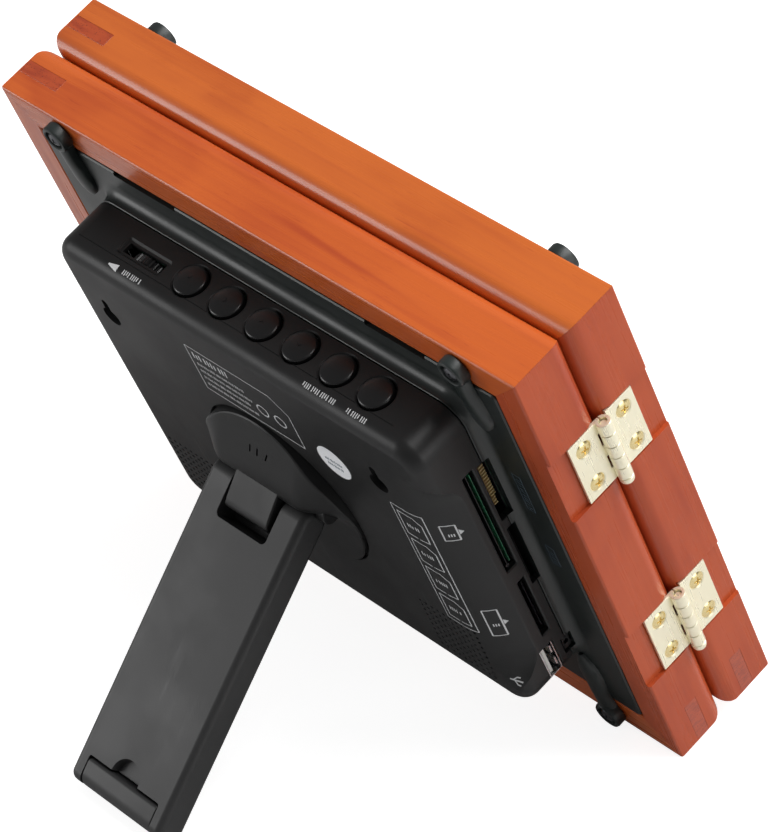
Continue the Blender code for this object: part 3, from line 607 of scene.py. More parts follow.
# %% Screen, glass, board and print
SCREEN, tree, shader, place = finish("screen_glass", 0.12, Coat_Weight=0.8, Coat_Roughness=0.05)
smears = noise(tree, place, 60, 4, 0.6)
tone = mix(tree, smears, (0.010, 0.012, 0.016, 1), (0.018, 0.020, 0.026, 1))
tree.links.new(tone, shader.inputs["Base Color"])
tree.links.new(ramp(tree, smears, 0.3, 0.8, 0.06, 0.18), shader.inputs["Roughness"])

GLASS, tree, shader, place = finish("picture_glass", 0.02, Transmission_Weight=1.0, IOR=1.5)
film = noise(tree, place, 40, 3, 0.6)
tone = mix(tree, film, (0.95, 0.98, 0.97, 1), (0.90, 0.95, 0.94, 1))
tree.links.new(tone, shader.inputs["Base Color"])
tree.links.new(ramp(tree, film, 0.4, 0.8, 0.01, 0.05), shader.inputs["Roughness"])

CIRCUIT, tree, shader, place = finish("circuit_board", 0.4)
tracks = add(tree, "ShaderNodeTexVoronoi", {"Vector": place, "Scale": 260.0},
             feature="DISTANCE_TO_EDGE", distance="MANHATTAN").outputs["Distance"]
copper = ramp(tree, tracks, 0.02, 0.07, 1.0, 0.0)
tone = mix(tree, copper, (0.012, 0.10, 0.045, 1), (0.03, 0.20, 0.09, 1))
tree.links.new(tone, shader.inputs["Base Color"])
raise_by(tree, shader, copper, 0.00004)

PRINT, tree, shader, place = finish("landscape_print", 0.35)
height = add(tree, "ShaderNodeSeparateXYZ", {0: place})
sky_blend = ramp(tree, height.outputs["Z"], 0.07, 0.15)
sky = mix(tree, sky_blend, (0.70, 0.78, 0.82, 1), (0.16, 0.34, 0.62, 1))
clouds = noise(tree, place, 34, 5, 0.6, (1, 1, 2.4))
picture = mix(tree, ramp(tree, clouds, 0.52, 0.72), sky, (0.85, 0.86, 0.86, 1))
HILLS = [(0.074, 0.030, (0.16, 0.24, 0.26, 1)), (0.058, 0.026, (0.09, 0.17, 0.08, 1)),
         (0.044, 0.018, (0.05, 0.11, 0.03, 1))]
for base, swing, tint in HILLS:
    crest = noise(tree, place, 1.2 / swing, 3, 0.5, (1, 0, 0))
    line = sums(tree, "ADD", sums(tree, "MULTIPLY", crest, swing), base - swing / 2)
    below = sums(tree, "LESS_THAN", height.outputs["Z"], line)
    picture = mix(tree, below, picture, tint)
tree.links.new(picture, shader.inputs["Base Color"])
print("inner finishes ready")

# %% [markdown]
# Each wooden frame is four mitred rails. One section runs round: big soft corners on the
# seam side, a crisp arris on the other, and a step for the glass or the module. The section
# is drawn once and each rail's ends are pulled in by the depth of every point, which makes
# the mitre. Pockets for the corner keys and mortises for the hinges are cut afterwards.

# %% Rails
outer_low, outer_high = own_box("frame_rail_top")
HALF = own_box("frame_rail_right")[1].x
HEIGHT = outer_high.z
SEAM = outer_low.y
OUTSIDE = own_box("cover_rail_top")[0].y
COVER_SEAM = own_box("cover_rail_top")[1].y
RAIL_BACK = 0.0110
RAIL_FRONT = own_box("frame_rail_right")[1].x - own_box("frame_rail_right")[0].x
REBATE = 0.0090
SEAM_ROUND = 0.0050
ARRIS = 0.0008
BACK_ARRIS = 0.0004
INNER_CHAMFER = 0.0012
MITRE_GAP = 0.00002
KEY_OVERCUT = 0.003
leaf_low, leaf_high = own_box("upper_hinge_leaf")
HINGE_HEIGHTS = [(own_box(f"{where}_hinge_leaf")[0].z + own_box(f"{where}_hinge_leaf")[1].z) / 2
                 for where in ("upper", "lower")]
MORTISE_HALF = 0.0122
MORTISE_DEEP = 0.0013


def rail_section(near, far):
    """The rail's section as (y, depth in from the outer edge)."""
    way = 1 if far > near else -1
    points = []
    for level, inward, radius, steps in ((near, way, SEAM_ROUND, 12), (far, -way, ARRIS, 4)):
        bend = [(level + inward * (radius + u), radius + v)
                for u, v in arc(0, 0, radius, 180, 270, steps)]
        points += bend if level == near else bend[::-1]
    points += [(far, RAIL_BACK - BACK_ARRIS), (far - way * BACK_ARRIS, RAIL_BACK)]
    points += [(far - way * REBATE, RAIL_BACK), (far - way * REBATE, RAIL_FRONT)]
    points += [(near + way * INNER_CHAMFER, RAIL_FRONT), (near, RAIL_FRONT - INNER_CHAMFER)]
    return points


def rail_point(side, run, y, depth):
    """Where a point of the section lands on one side of the frame."""
    if side in ("top", "bottom"):
        end = HALF - depth - MITRE_GAP
        return Vector((run * end, y, HEIGHT - depth if side == "top" else depth))
    end = HEIGHT / 2 - depth - MITRE_GAP
    return Vector(((-HALF if side == "left" else HALF) + (depth if side == "left" else -depth),
                   y, HEIGHT / 2 + run * end))


def board_places(made, side, number):
    """Notes on each corner of a rail how far along its own board it lies."""
    places = made.data.attributes.new("along_board", "FLOAT_VECTOR", "POINT")
    for vert in made.data.vertices:
        run, depth = (vert.co.x, vert.co.z) if side in ("top", "bottom") else (vert.co.z, vert.co.x)
        places.data[vert.index].vector = (run + number * 0.731, vert.co.y, depth + number * 0.317)


def mortise(bm, near, far):
    """Two shallow steps for the hinge leaves, right across the rail."""
    y0, y1 = min(near, far) - 0.001, max(near, far) + 0.001
    for middle_z in HINGE_HEIGHTS:
        low, high = middle_z - MORTISE_HALF, middle_z + MORTISE_HALF
        bm = cut(bm, box(-HALF - 0.01, -HALF + MORTISE_DEEP, y0, y1, low, high))
    return bm


def wooden_frame(prefix, near, far, body, wood, shaded_side_wood, slot, first):
    """Four rails and two keys."""
    keys = {"top": own_box(f"{prefix}_top_key"), "left": own_box(f"{prefix}_side_key")}
    for number, side in enumerate(("top", "right", "bottom", "left"), first):
        section = rail_section(near, far)
        rings = [[rail_point(side, run, y, depth) for y, depth in section] for run in (-1, 1)]
        bm = loft(rings)
        for key_low, key_high in keys.values():
            grow = Vector((HAIR, HAIR, HAIR))
            low, high = key_low - grow, key_high + grow
            bm = cut(bm, box(low.x - (KEY_OVERCUT if key_low.x < 0 else 0), high.x, low.y, high.y,
                             low.z, high.z + (KEY_OVERCUT if key_high.z > HEIGHT / 2 else 0)))
        if side == "left":
            bm = mortise(bm, near, far)
        # The hinge-side rail takes the painted-shade copy of the cherry.
        wanted = shaded_side_wood if side == "left" else wood
        made = piece(f"{prefix}_{side}_board", bm, wanted, body, slot, f"{prefix}_rail_{side}")
        board_places(made, side, number)
    for side, (low, high) in keys.items():
        name = "top" if side == "top" else "side"
        bm = soften(box(low.x, high.x, low.y, high.y, low.z, high.z), 0.0001, 1)
        piece(f"{prefix}_{name}_end_grain_key", bm, END_GRAIN, body, "end_grain",
              f"{prefix}_{name}_key")


wooden_frame("frame", SEAM, 0.0, "root", FRAME_WOOD, SHADED_SIDE_WOOD, "cherry_wood", 1)
wooden_frame("cover", COVER_SEAM, OUTSIDE, "cover", COVER_WOOD, SHADED_SIDE_WOOD, "cover_cherry_wood", 5)
print("rails", round(HALF * 2, 4), "by", round(HEIGHT, 4), "m")

# %% [markdown]
# The hinges are small brass butts. A real leaf is plate rolled round the pin at every other
# knuckle. Here each knuckle is a turned ring joined to the plate, then bored for the pin and
# slit along the barrel, where the rolled edge would meet the plate. Countersinks take
# oval-headed screws with crossed recesses.

# %% Hinges
barrel = pivot("cover_hinge")
LEAF_HALF = (leaf_high.z - leaf_low.z) / 2
LEAF_THICK = 0.0010
LEAF_FACE = -HALF + 0.0010
BARREL_R = 0.0022
PLATE_START = BARREL_R + 0.0001
LEAF_WIDTH = leaf_high.y - barrel.y
KNUCKLES = 5
KNUCKLE_GAP = 0.00012
KNUCKLE_EASE = 0.00015
PIN_HOLE = 0.00128
SCREW_OUT = 0.0078
SCREW_SHIFT = 0.0070


def hinge_screw_places(middle_z, out):
    """The two screws of a leaf as (y, z)."""
    return [(barrel.y + out * SCREW_OUT, middle_z + shift) for shift in (-SCREW_SHIFT, SCREW_SHIFT)]


def hinge_leaf(where, middle_z, out, turn, body, node):
    """A plate with its rolled knuckles and countersinks."""
    y0, y1 = sorted((barrel.y + out * PLATE_START, barrel.y + out * LEAF_WIDTH))
    plate = [(y0, middle_z - LEAF_HALF), (y1, middle_z - LEAF_HALF),
             (y1, middle_z + LEAF_HALF), (y0, middle_z + LEAF_HALF)]
    bm = soften(prism(plate, LEAF_FACE - LEAF_THICK, LEAF_FACE, SIDE), 0.00018, 2)
    pitch = 2 * LEAF_HALF / KNUCKLES
    for number in range(turn, KNUCKLES, 2):
        low = middle_z - LEAF_HALF + number * pitch + KNUCKLE_GAP
        high = low + pitch - 2 * KNUCKLE_GAP
        eased = BARREL_R - KNUCKLE_EASE
        ring = turned([(eased, 0), (BARREL_R, KNUCKLE_EASE), (BARREL_R, high - low - KNUCKLE_EASE),
                       (eased, high - low)], (barrel.x, barrel.y, low), (0, 0, 1), 32)
        y_in, y_out = sorted((barrel.y + out * 0.0006, barrel.y + out * (PLATE_START + 0.0005)))
        strap = box(LEAF_FACE - LEAF_THICK, LEAF_FACE - HAIR, y_in, y_out, low + 0.0001, high - 0.0001)
        bm = cut(bm, ring, "UNION")
        bm = cut(bm, strap, "UNION")
    bore = turned([(PIN_HOLE, -0.02), (PIN_HOLE, 0.02)], (barrel.x, barrel.y, middle_z), (0, 0, 1), 24)
    bm = cut(bm, bore)
    slit_y = sorted((barrel.y - out * 0.0003, barrel.y + out * 0.0001))
    bm = cut(bm, box(barrel.x, barrel.x + BARREL_R + 0.0004, *slit_y,
                     middle_z - 0.02, middle_z + 0.02))
    sinks = [turned([(0.0031, -0.0003), (0.0029, 0), (0.0014, 0.0013)],
                    (LEAF_FACE - LEAF_THICK, y, z), (1, 0, 0), 32)
             for y, z in hinge_screw_places(middle_z, out)]
    bm = cut(bm, together(sinks))
    return piece(f"{where}_brass_leaf", bm, BRASS, body, "brass", node)


def cross_head(name, head, rim, slot_wide, slot_long, place, along, metal, body, slot, *stands_for):
    """A screw head with a crossed recess; along points into the wood."""
    along = Vector(along).normalized()
    spin = along.to_track_quat("Z", "Y").to_matrix().to_4x4()
    at = Matrix.Translation(place) @ spin
    bm = turned(head, (0, 0, 0), (0, 0, 1), 32)
    top = min(level for _, level in head)
    for turn in (0, 90):
        turn_by = Matrix.Rotation(math.radians(turn + 20), 4, "Z")
        arm = stack(-slot_long, slot_long, -slot_wide, slot_wide, 0.00005,
                    [(top - 0.0003, 0.0002), (top + rim, -0.00012)], turn_by, 1)
        bm = cut(bm, arm)
    return piece(name, bm, metal, body, slot, *stands_for, at=LEAN @ at, smooth=30)


OVAL_HEAD = [(0.0004, -0.00042), (0.0011, -0.00036), (0.0018, -0.0002), (0.0024, 0.00008),
             (0.0027, 0.0003), (0.0012, 0.0015)]
PIN_HEAD = [(0.0014, -0.0024), (0.0019, -0.0021), (0.0021, -0.0016), (0.0021, -0.0003),
            (0.0018, -0.0001)]
for where, middle_z in zip(("upper", "lower"), HINGE_HEIGHTS):
    hinge_leaf(where, middle_z, 1, 0, "root", f"{where}_hinge_leaf")
    hinge_leaf(f"{where}_cover", middle_z, -1, 1, "cover", f"{where}_hinge_cover_leaf")
    tail = middle_z - LEAF_HALF
    pin = turned(PIN_HEAD + [(0.0011, 0), (0.0011, 2 * LEAF_HALF - 0.0011),
                             (0.0008, 2 * LEAF_HALF - 0.0008)],
                 (barrel.x, barrel.y, tail), (0, 0, 1), 32)
    piece(f"{where}_brass_pin", pin, BRASS, "root", "brass", f"{where}_hinge_pin")
for prefix, out, body in (("frame", 1, "root"), ("cover", -1, "cover")):
    places = [spot for middle_z in HINGE_HEIGHTS for spot in hinge_screw_places(middle_z, out)]
    for number, (y, z) in enumerate(places, 1):
        cross_head(f"{prefix}_leaf_screw_{number}", OVAL_HEAD, 0.0007, 0.00022, 0.0013,
                   (LEAF_FACE - LEAF_THICK, y, z), (1, 0, 0), SCREW_BRASS, body, "brass",
                   f"{prefix}_hinge_screw_{number}")
print("hinges on a barrel at", [round(value, 4) for value in barrel])

# %% [markdown]
# Turn buttons hold the module in: a round boss on a screw, a waist, and a spoon-shaped
# finger that bears on the flange. The finger is lofted from slices along its length, each a
# flattened half-round, which gives the soft crowned leaf that a moulding has.

# %% Turn-button clips
BOSS = [(0.0043, 0.0003), (0.0045, 0.0006), (0.0045, 0.0030), (0.0042, 0.0036), (0.0036, 0.0038),
        (0.0032, 0.0036), (0.0030, 0.0026)]
PAN_HEAD = [(0.0006, -0.0008), (0.0014, -0.0007), (0.0021, -0.0004), (0.0023, 0.0),
            (0.0023, 0.0004), (0.0010, 0.0006)]
RAIL_STEP = 0.012
CLIP_SLICES = [(0.0010, 0.0036, 0.0034), (0.0040, 0.0031, 0.0034), (0.0070, 0.0028, 0.0033),
               (0.0100, 0.0031, 0.0032), (0.0130, 0.0036, 0.0030), (0.0165, 0.0040, 0.0028),
               (0.0195, 0.0040, 0.0025), (0.0222, 0.0034, 0.0022), (0.0244, 0.0022, 0.0017),
               (0.0257, 0.0009, 0.0012)]


def clip_finger():
    """The waisted finger along +z, crown towards +y, its underside lower once past the rail."""
    rings = []
    for along, half, crown in CLIP_SLICES:
        low = 0.0003 if along < RAIL_STEP else -0.0006
        ring = [Vector((-half, low, along)), Vector((half, low, along))]
        for step in range(9):
            angle = math.pi * step / 8
            level = low + 0.0004 + (crown - low - 0.0004) * math.sin(angle) ** 0.7
            ring.append(Vector((half * math.cos(angle), level, along)))
        rings.append(ring)
    return loft(rings)


def turn_button(name, joint, outward, body, node):
    """A clip at its own joint, pointed as the working clip points."""
    spot = pivot(joint)
    low, high = own_box(node)
    tip = Vector(((low.x + high.x) / 2 - spot.x, 0, (low.z + high.z) / 2 - spot.z))
    heading = math.atan2(tip.x, tip.z)
    bm = cut(clip_finger(), turned(BOSS, (0, 0, 0), (0, 1, 0), 40), "UNION")
    bm = cut(bm, turned([(0.0031, 0.0042), (0.0029, 0.0026)], (0, 0, 0), (0, 1, 0), 32))
    level = Vector((spot.x, 0.0 if outward > 0 else OUTSIDE, spot.z))
    flip = Matrix.Diagonal((1, outward, 1, 1))
    at = Matrix.Translation(level) @ Matrix.Rotation(heading, 4, "Y")
    bmesh.ops.transform(bm, matrix=flip, verts=bm.verts)
    bmesh.ops.recalc_face_normals(bm, faces=bm.faces)
    piece(name, bm, CLIP_BLACK, body, "clip_plastic", node, at=LEAN @ at)
    home = "root" if outward > 0 else "cover"
    cross_head(f"{name}_screw", PAN_HEAD, 0.0007, 0.00022, 0.0012,
               level + Vector((0, outward * 0.0030, 0)), (0, -outward, 0), DARK_STEEL, home, "steel")


for number in (1, 2, 3, 4):
    turn_button(f"frame_turn_button_{number}", f"frame_clip_{number}_turn", 1,
                f"frame_clip_{number}", f"frame_clip_{number}")
    turn_button(f"cover_turn_button_{number}", f"cover_clip_{number}_turn", -1,
                f"cover_clip_{number}", f"cover_clip_{number}")
print("eight turn buttons and their screws")

# %% [markdown]
# The module's tray fills the wooden frame: a flat flange, then a cove that sweeps up to the
# rim where the back shell sits. The cove is a stack of rounded rectangles whose growth
# follows a quarter circle. Some slots lie right on the seam between tray and shell, so their
# mouths are named here and cut from both.

# %% Front tray
tray_low, tray_high = own_box("front_housing")
shell_low, shell_high = own_box("rear_cover")
CORNER = 0.0080
COVE = 0.0034
WALL = 0.0020
FLANGE_TOP = 0.0002
PARTING = tray_high.y
SCREEN_WINDOW = (-0.0605, 0.0605, -0.012, -0.004, 0.0400, 0.1325)
CATCH_NOTCHES = ((0.0340, 0.0600), (-0.0655, -0.0425))

jack_low, jack_high = own_box("power_jack")
CLEAR = 0.0003
PARTING_MOUTHS = {
    "strip": (0.0022, 0.0064, 0.1043, 0.1282),
    "chip": (0.0031, 0.0062, 0.0749, 0.1004),
    "jack": (jack_low.y - CLEAR, jack_high.y + CLEAR, jack_low.z - CLEAR, jack_high.z + CLEAR),
}

bm = stack(tray_low.x, tray_high.x, tray_low.z, tray_high.z, 0.0015,
           [(tray_low.y, 0), (FLANGE_TOP - 0.0004, 0), (FLANGE_TOP, -0.0004)])
turns = [math.radians(angle) for angle in range(90, -1, -15)]
sweep = [(FLANGE_TOP + COVE * (1 - math.sin(a)), COVE * (1 - math.cos(a))) for a in turns]
levels = [(-0.001, sweep[0][1])] + sweep + [(PARTING - 0.0002, 0), (PARTING, -0.0002)]
rim = stack(shell_low.x, shell_high.x, shell_low.z, shell_high.z, CORNER, levels, steps=8)
bm = cut(bm, rim, "UNION")
bm = cut(bm, stack(shell_low.x + WALL, shell_high.x - WALL, shell_low.z + WALL, shell_high.z - WALL,
                   CORNER - WALL, [(-0.0050, 0), (PARTING + 0.002, 0)]))
bm = cut(bm, box(*SCREEN_WINDOW))
for x0, x1 in CATCH_NOTCHES:
    bm = cut(bm, box(x0, x1, -0.012, 0.002, 0.1592, 0.1650))
for mouth in PARTING_MOUTHS.values():
    bm = cut(bm, box(shell_low.x - 0.006, shell_low.x + 0.006, *mouth))
tray = piece("module_tray", bm, TRAY_BLACK, "root", "housing_plastic", "front_housing")
print("tray faces:", len(tray.data.polygons))

# %% [markdown]
# The back shell is a rounded tray with its far edge rolled over. On the hinge side its face
# sinks in a broad scoop so that fingers reach the card slots; the scoop is a lofted tool
# whose depth grows with the cube of the distance and fades out at both ends. The hollow
# inside follows the same curve, so the wall keeps its thickness.

# %% Back shell
BACK = shell_high.y
ROLL = 0.0046
SCOOP_START = shell_low.x + 0.0190
SCOOP_DEEP = 0.0095
SCOOP_LOW, SCOOP_HIGH = 0.0440, 0.1330


def smooth(value):
    """A soft step from 0 to 1."""
    value = min(max(value, 0.0), 1.0)
    return value * value * (3 - 2 * value)


def scoop_depth(x, z):
    """How far the back face has sunk at a place near the hinge side."""
    share = (SCOOP_START - x) / (SCOOP_START - shell_low.x)
    fade = smooth((z - SCOOP_LOW + 0.004) / 0.012) * smooth((SCOOP_HIGH + 0.006 - z) / 0.016)
    return SCOOP_DEEP * max(share, 0.0) ** 3 * fade


def scoop_tool(thicker):
    """The scoop as a solid to cut away, set deeper by the wall for the hollow."""
    rings = []
    for row in range(33):
        z = SCOOP_LOW - 0.006 + (SCOOP_HIGH - SCOOP_LOW + 0.014) * row / 32
        ring = []
        for column in range(15):
            x = SCOOP_START + 0.002 - (SCOOP_START + 0.002 - shell_low.x + 0.003) * column / 14
            y = BACK + 0.00004 - scoop_depth(x - thicker, z) - thicker
            ring.append(Vector((x, y, z)))
        ring += [Vector((ring[-1].x, BACK + 0.003, z)), Vector((ring[0].x, BACK + 0.003, z))]
        rings.append(ring)
    return loft(rings)


def rolled_levels(low, high, roll, steps):
    """Heights and growth of a tray whose far edge is rolled over."""
    rows = [(low, -0.0002), (low + 0.0002, 0)]
    for step in range(steps + 1):
        angle = math.radians(90 * step / steps)
        rows.append((high - roll + roll * math.sin(angle), -roll * (1 - math.cos(angle))))
    return rows


def wall_mouth(y0, y1, z0, z1, flare=0.0004):
    """A slot into the hinge-side wall with a flared mouth."""
    wall = shell_low.x
    levels = [(wall - 0.004, flare + 0.00005), (wall - 0.00001, flare), (wall + flare, 0),
              (wall + 0.006, 0)]
    return stack(y0, y1, z0, z1, 0.0003, levels, SIDE, 2)


bm = stack(shell_low.x, shell_high.x, shell_low.z, shell_high.z, CORNER,
           rolled_levels(shell_low.y, BACK, ROLL, 9), steps=10)
hollow = stack(shell_low.x + WALL, shell_high.x - WALL, shell_low.z + WALL, shell_high.z - WALL,
               CORNER - WALL, rolled_levels(shell_low.y - 0.002, BACK - WALL, ROLL - WALL, 4), steps=6)
bm = cut(bm, cut(hollow, scoop_tool(WALL)))
bm = cut(bm, scoop_tool(0.0))
socket_low, socket_high = own_box("usb_port")
SLOTS = {
    "large_card": (0.0078, 0.0116, 0.0865, 0.1290),
    "small_card": (0.0076, 0.0103, 0.0546, 0.0800),
    "socket": (socket_low.y - CLEAR, socket_high.y + CLEAR, socket_low.z - CLEAR, socket_high.z + CLEAR),
}
for name, mouth in [*SLOTS.items(), *PARTING_MOUTHS.items()]:
    bm = cut(bm, wall_mouth(*mouth, flare=0.0004 if "card" in name else 0.00015))

BUTTON_NAMES = [f"button_{number}" for number in range(1, 7)]
BUTTON_SPOTS = []
for name in BUTTON_NAMES:
    low, high = own_box(name)
    BUTTON_SPOTS.append(((low.x + high.x) / 2, (low.y + high.y) / 2))
BUTTON_R = (own_box("button_1")[1].x - own_box("button_1")[0].x) / 2
DECK = shell_high.z
bore_r = BUTTON_R + 0.00035
bore = [(bore_r, -0.006), (bore_r, -0.0005), (BUTTON_R + 0.0009, 0.00001), (BUTTON_R + 0.0011, 0.002)]
bm = cut(bm, together([turned(bore, (x, y, DECK), (0, 0, 1), 48) for x, y in BUTTON_SPOTS]))

wheel_low, wheel_high = own_box("volume_wheel")
WHEEL = (wheel_low + wheel_high) / 2
bm = cut(bm, stack(WHEEL.x - 0.0088, WHEEL.x + 0.0088, WHEEL.y - 0.0024, WHEEL.y + 0.0024, 0.0006,
                   [(DECK + 0.002, 0.0010), (DECK + 0.00001, 0.0006), (DECK - 0.0007, 0)], TOP, 3))
bm = cut(bm, stack(WHEEL.x - 0.0079, WHEEL.x + 0.0079, WHEEL.y - 0.0018, WHEEL.y + 0.0018, 0.0004,
                   [(DECK, 0), (DECK - 0.0022, -0.0002), (DECK - 0.006, -0.0002)], TOP, 3))

KEYHOLE_X, KEYHOLE_Z, KEYHOLE_TOP = 0.0552, 0.1245, 0.1320
KEYHOLE_R, KEYHOLE_NECK = 0.0034, 0.0013
for x in (-KEYHOLE_X, KEYHOLE_X):
    outline = arc(x, KEYHOLE_Z, KEYHOLE_R, 112, 428, 26)
    outline += [(x + KEYHOLE_NECK, KEYHOLE_TOP - 0.0012)]
    outline += arc(x, KEYHOLE_TOP - KEYHOLE_NECK, 0.0012, 20, 160, 4)
    outline += [(x - KEYHOLE_NECK, KEYHOLE_TOP - 0.0012)]
    bm = cut(bm, prism(outline, BACK - 0.004, BACK + 0.002))

disc_low, disc_high = own_box("stand_disc")
DISC = pivot("stand_turn")
DISC_R = (disc_high.x - disc_low.x) / 2
HUB_HOLE = 0.0093
seat_r = DISC_R + 0.0006
seat = [(seat_r, -0.0016), (seat_r, -0.0004), (DISC_R + 0.0009, 0.00001), (DISC_R + 0.0010, 0.002)]
bm = cut(bm, turned(seat, (DISC.x, BACK, DISC.z), (0, 1, 0), 96))
bm = cut(bm, turned([(HUB_HOLE, -0.005), (HUB_HOLE, 0.0)], (DISC.x, BACK, DISC.z), (0, 1, 0), 32))

GRILLE_PITCH, GRILLE_ROWS, GRILLE_Z = 0.0024, 10, 0.0400
GRILLE_HOLE = [(0.00052, -0.004), (0.00052, -0.0002), (0.00066, 0.00002), (0.0007, 0.001)]
for corner_x in (0.0440, -0.0656):
    holes = []
    for row in range(GRILLE_ROWS):
        for column in range(GRILLE_ROWS):
            spot = (corner_x + GRILLE_PITCH * column, BACK, GRILLE_Z + GRILLE_PITCH * row)
            holes.append(turned(GRILLE_HOLE, spot, (0, 1, 0), 8))
    bm = cut(bm, together(holes))

DECK_LINE_Y, DECK_LINE_WIDE = 0.0168, 0.00032
bm = cut(bm, box(-0.0660, 0.0620, DECK_LINE_Y, DECK_LINE_Y + DECK_LINE_WIDE,
                 DECK - 0.0002, DECK + 0.001))
shell = piece("module_back_shell", bm, SHELL_BLACK, "root", "satin_black_plastic", "rear_cover")
print("shell faces:", len(shell.data.polygons))

# %% [markdown]
# Six push buttons stand just proud of the deck. Each is turned with a rounded shoulder and a
# softly crowned top. The first four carry a small engraved arrowhead; the last two are plain.
# Beside them a ribbed thumbwheel sits deep in its recess.

# %% Buttons and wheel


def chevron(turn, depth):
    """An engraving tool in the form of an open arrowhead."""
    arms = []
    for lean in (-40, 40):
        arm = stack(-0.0001, 0.0012, -0.00013, 0.00013, 0.0001, [(-depth, 0), (0.001, 0)], TOP, 1)
        swing = Matrix.Rotation(math.radians(lean + turn), 4, "Z")
        bmesh.ops.transform(arm, matrix=swing, verts=arm.verts)
        arms.append(arm)
    tool = cut(arms[0], arms[1], "UNION")
    back = (-0.0005 * math.cos(math.radians(turn)), -0.0005 * math.sin(math.radians(turn)), 0)
    bmesh.ops.translate(tool, vec=back, verts=tool.verts)
    return tool


ARROW_TURNS = (180, 0, 90, 270)
SHOULDER_R = 0.0006


for number, (name, (x, y)) in enumerate(zip(BUTTON_NAMES, BUTTON_SPOTS)):
    low, high = own_box(name)
    crown = high.z - DECK
    shoulder = crown - 0.0011
    profile = [(BUTTON_R, low.z - DECK), (BUTTON_R, shoulder)]
    for step in range(1, 5):
        angle = math.radians(90 * step / 4)
        profile.append((BUTTON_R - SHOULDER_R + SHOULDER_R * math.cos(angle),
                        shoulder + 0.0007 * math.sin(angle)))
    profile += [(BUTTON_R * 0.75, crown - 0.00022), (BUTTON_R * 0.5, crown - 0.00010),
                (BUTTON_R * 0.25, crown - 0.00002), (BUTTON_R * 0.1, crown)]
    bm = turned(profile, (0, 0, 0), (0, 0, 1), 48)
    if number < len(ARROW_TURNS):
        tool = chevron(ARROW_TURNS[number], 0.00012)
        bmesh.ops.translate(tool, vec=(0, 0, crown), verts=tool.verts)
        bm = cut(bm, tool)
    piece(f"push_{name}", bm, BUTTON_BLACK, name, "button_plastic", name,
          at=LEAN @ Matrix.Translation((x, y, DECK)), smooth=50)

TEETH = 36
WHEEL_R = (wheel_high.z - wheel_low.z) / 2
rib = []
tooth_shape = ((0, WHEEL_R - 0.0005), (0.25, WHEEL_R - 0.0004), (0.5, WHEEL_R), (0.75, WHEEL_R))
for tooth in range(TEETH):
    for shift, radius in tooth_shape:
        angle = math.tau * (tooth + shift) / TEETH
        rib.append((radius * math.cos(angle), radius * math.sin(angle)))
rim_rings = []
for level, shrink in ((-0.0015, 0.94), (-0.0012, 1.0), (0.0012, 1.0), (0.0015, 0.94)):
    rim_rings.append([Vector((u * shrink, level, v * shrink)) for u, v in rib])
axle = turned([(0.0012, -0.0025), (0.0012, 0.0025)], (0, 0, 0), (0, 1, 0), 16)
wheel = cut(loft(rim_rings), axle, "UNION")
piece("ribbed_thumbwheel", wheel, BUTTON_BLACK, "volume_wheel", "button_plastic", "volume_wheel",
      at=LEAN @ Matrix.Translation(WHEEL))
print("buttons at", [round(x, 4) for x, _ in BUTTON_SPOTS])

# %% [markdown]
# Behind the slots: a row of gold springs for the thin card, the guide plates that a card
# slides between, the edge of a green board and its steel strips. Below them come the folded
# steel shell of the socket, with its white tongue, contacts and spring fingers, and the square
# jack with its pin. Plates and springs are thin slabs with their front edges eased, set a
# little behind the wall's face so that they show only through the mouths.

# %% Sockets and contacts
SPRINGS, SHORT_SPRINGS, SPRING_HALF = 14, 3, 0.00026
_, strip_y1, strip_z0, strip_z1 = PARTING_MOUTHS["strip"]
spring_tip = [(shell_low.x + 0.0006, -0.0001), (shell_low.x + 0.0010, 0), (shell_low.x + 0.0058, 0)]
spring_root = strip_y1 - 0.0003
springs = []
for number in range(SPRINGS):
    z = strip_z1 - 0.0014 - (strip_z1 - strip_z0 - 0.0080) * number / (SPRINGS - 1)
    long = 0.0015 if number >= SPRINGS - SHORT_SPRINGS else 0.0021
    springs.append(stack(spring_root - long, spring_root, z - SPRING_HALF, z + SPRING_HALF, 0.0001,
                         spring_tip, SIDE, 1))
piece("card_contact_springs", together(springs), GOLD, "root", "brass")


def inner_plate(y_low, y_high, z_low, z_high, set_back):
    """A long thin plate inside a slot, its front edge a little behind the wall's face."""
    front = shell_low.x + set_back
    levels = [(front, -0.0001), (front + 0.0002, 0), (front + 0.007, 0)]
    return stack(y_low, y_high, z_low, z_high, 0.0001, levels, SIDE, 1)


guides = [inner_plate(0.0023, 0.0027, 0.0752, 0.1279, 0.0021),
          inner_plate(0.0052, 0.0055, 0.0752, 0.1000, 0.0012),
          inner_plate(0.0100, 0.0104, 0.0868, 0.1287, 0.0010)]
piece("card_guide_plates", together(guides), SLOT_BLACK, "root", "button_plastic")
board_edge = inner_plate(0.0086, 0.0090, 0.0880, 0.1270, 0.0013)
piece("card_slot_board", together([board_edge]), CIRCUIT, "root", "circuit_board")
strips = [inner_plate(0.0088, 0.00895, 0.0575, 0.0785, 0.0008),
          inner_plate(0.0095, 0.0108, 0.0872, 0.0882, 0.0010)]
piece("card_slot_strips", together(strips), DARK_STEEL, "root", "steel")

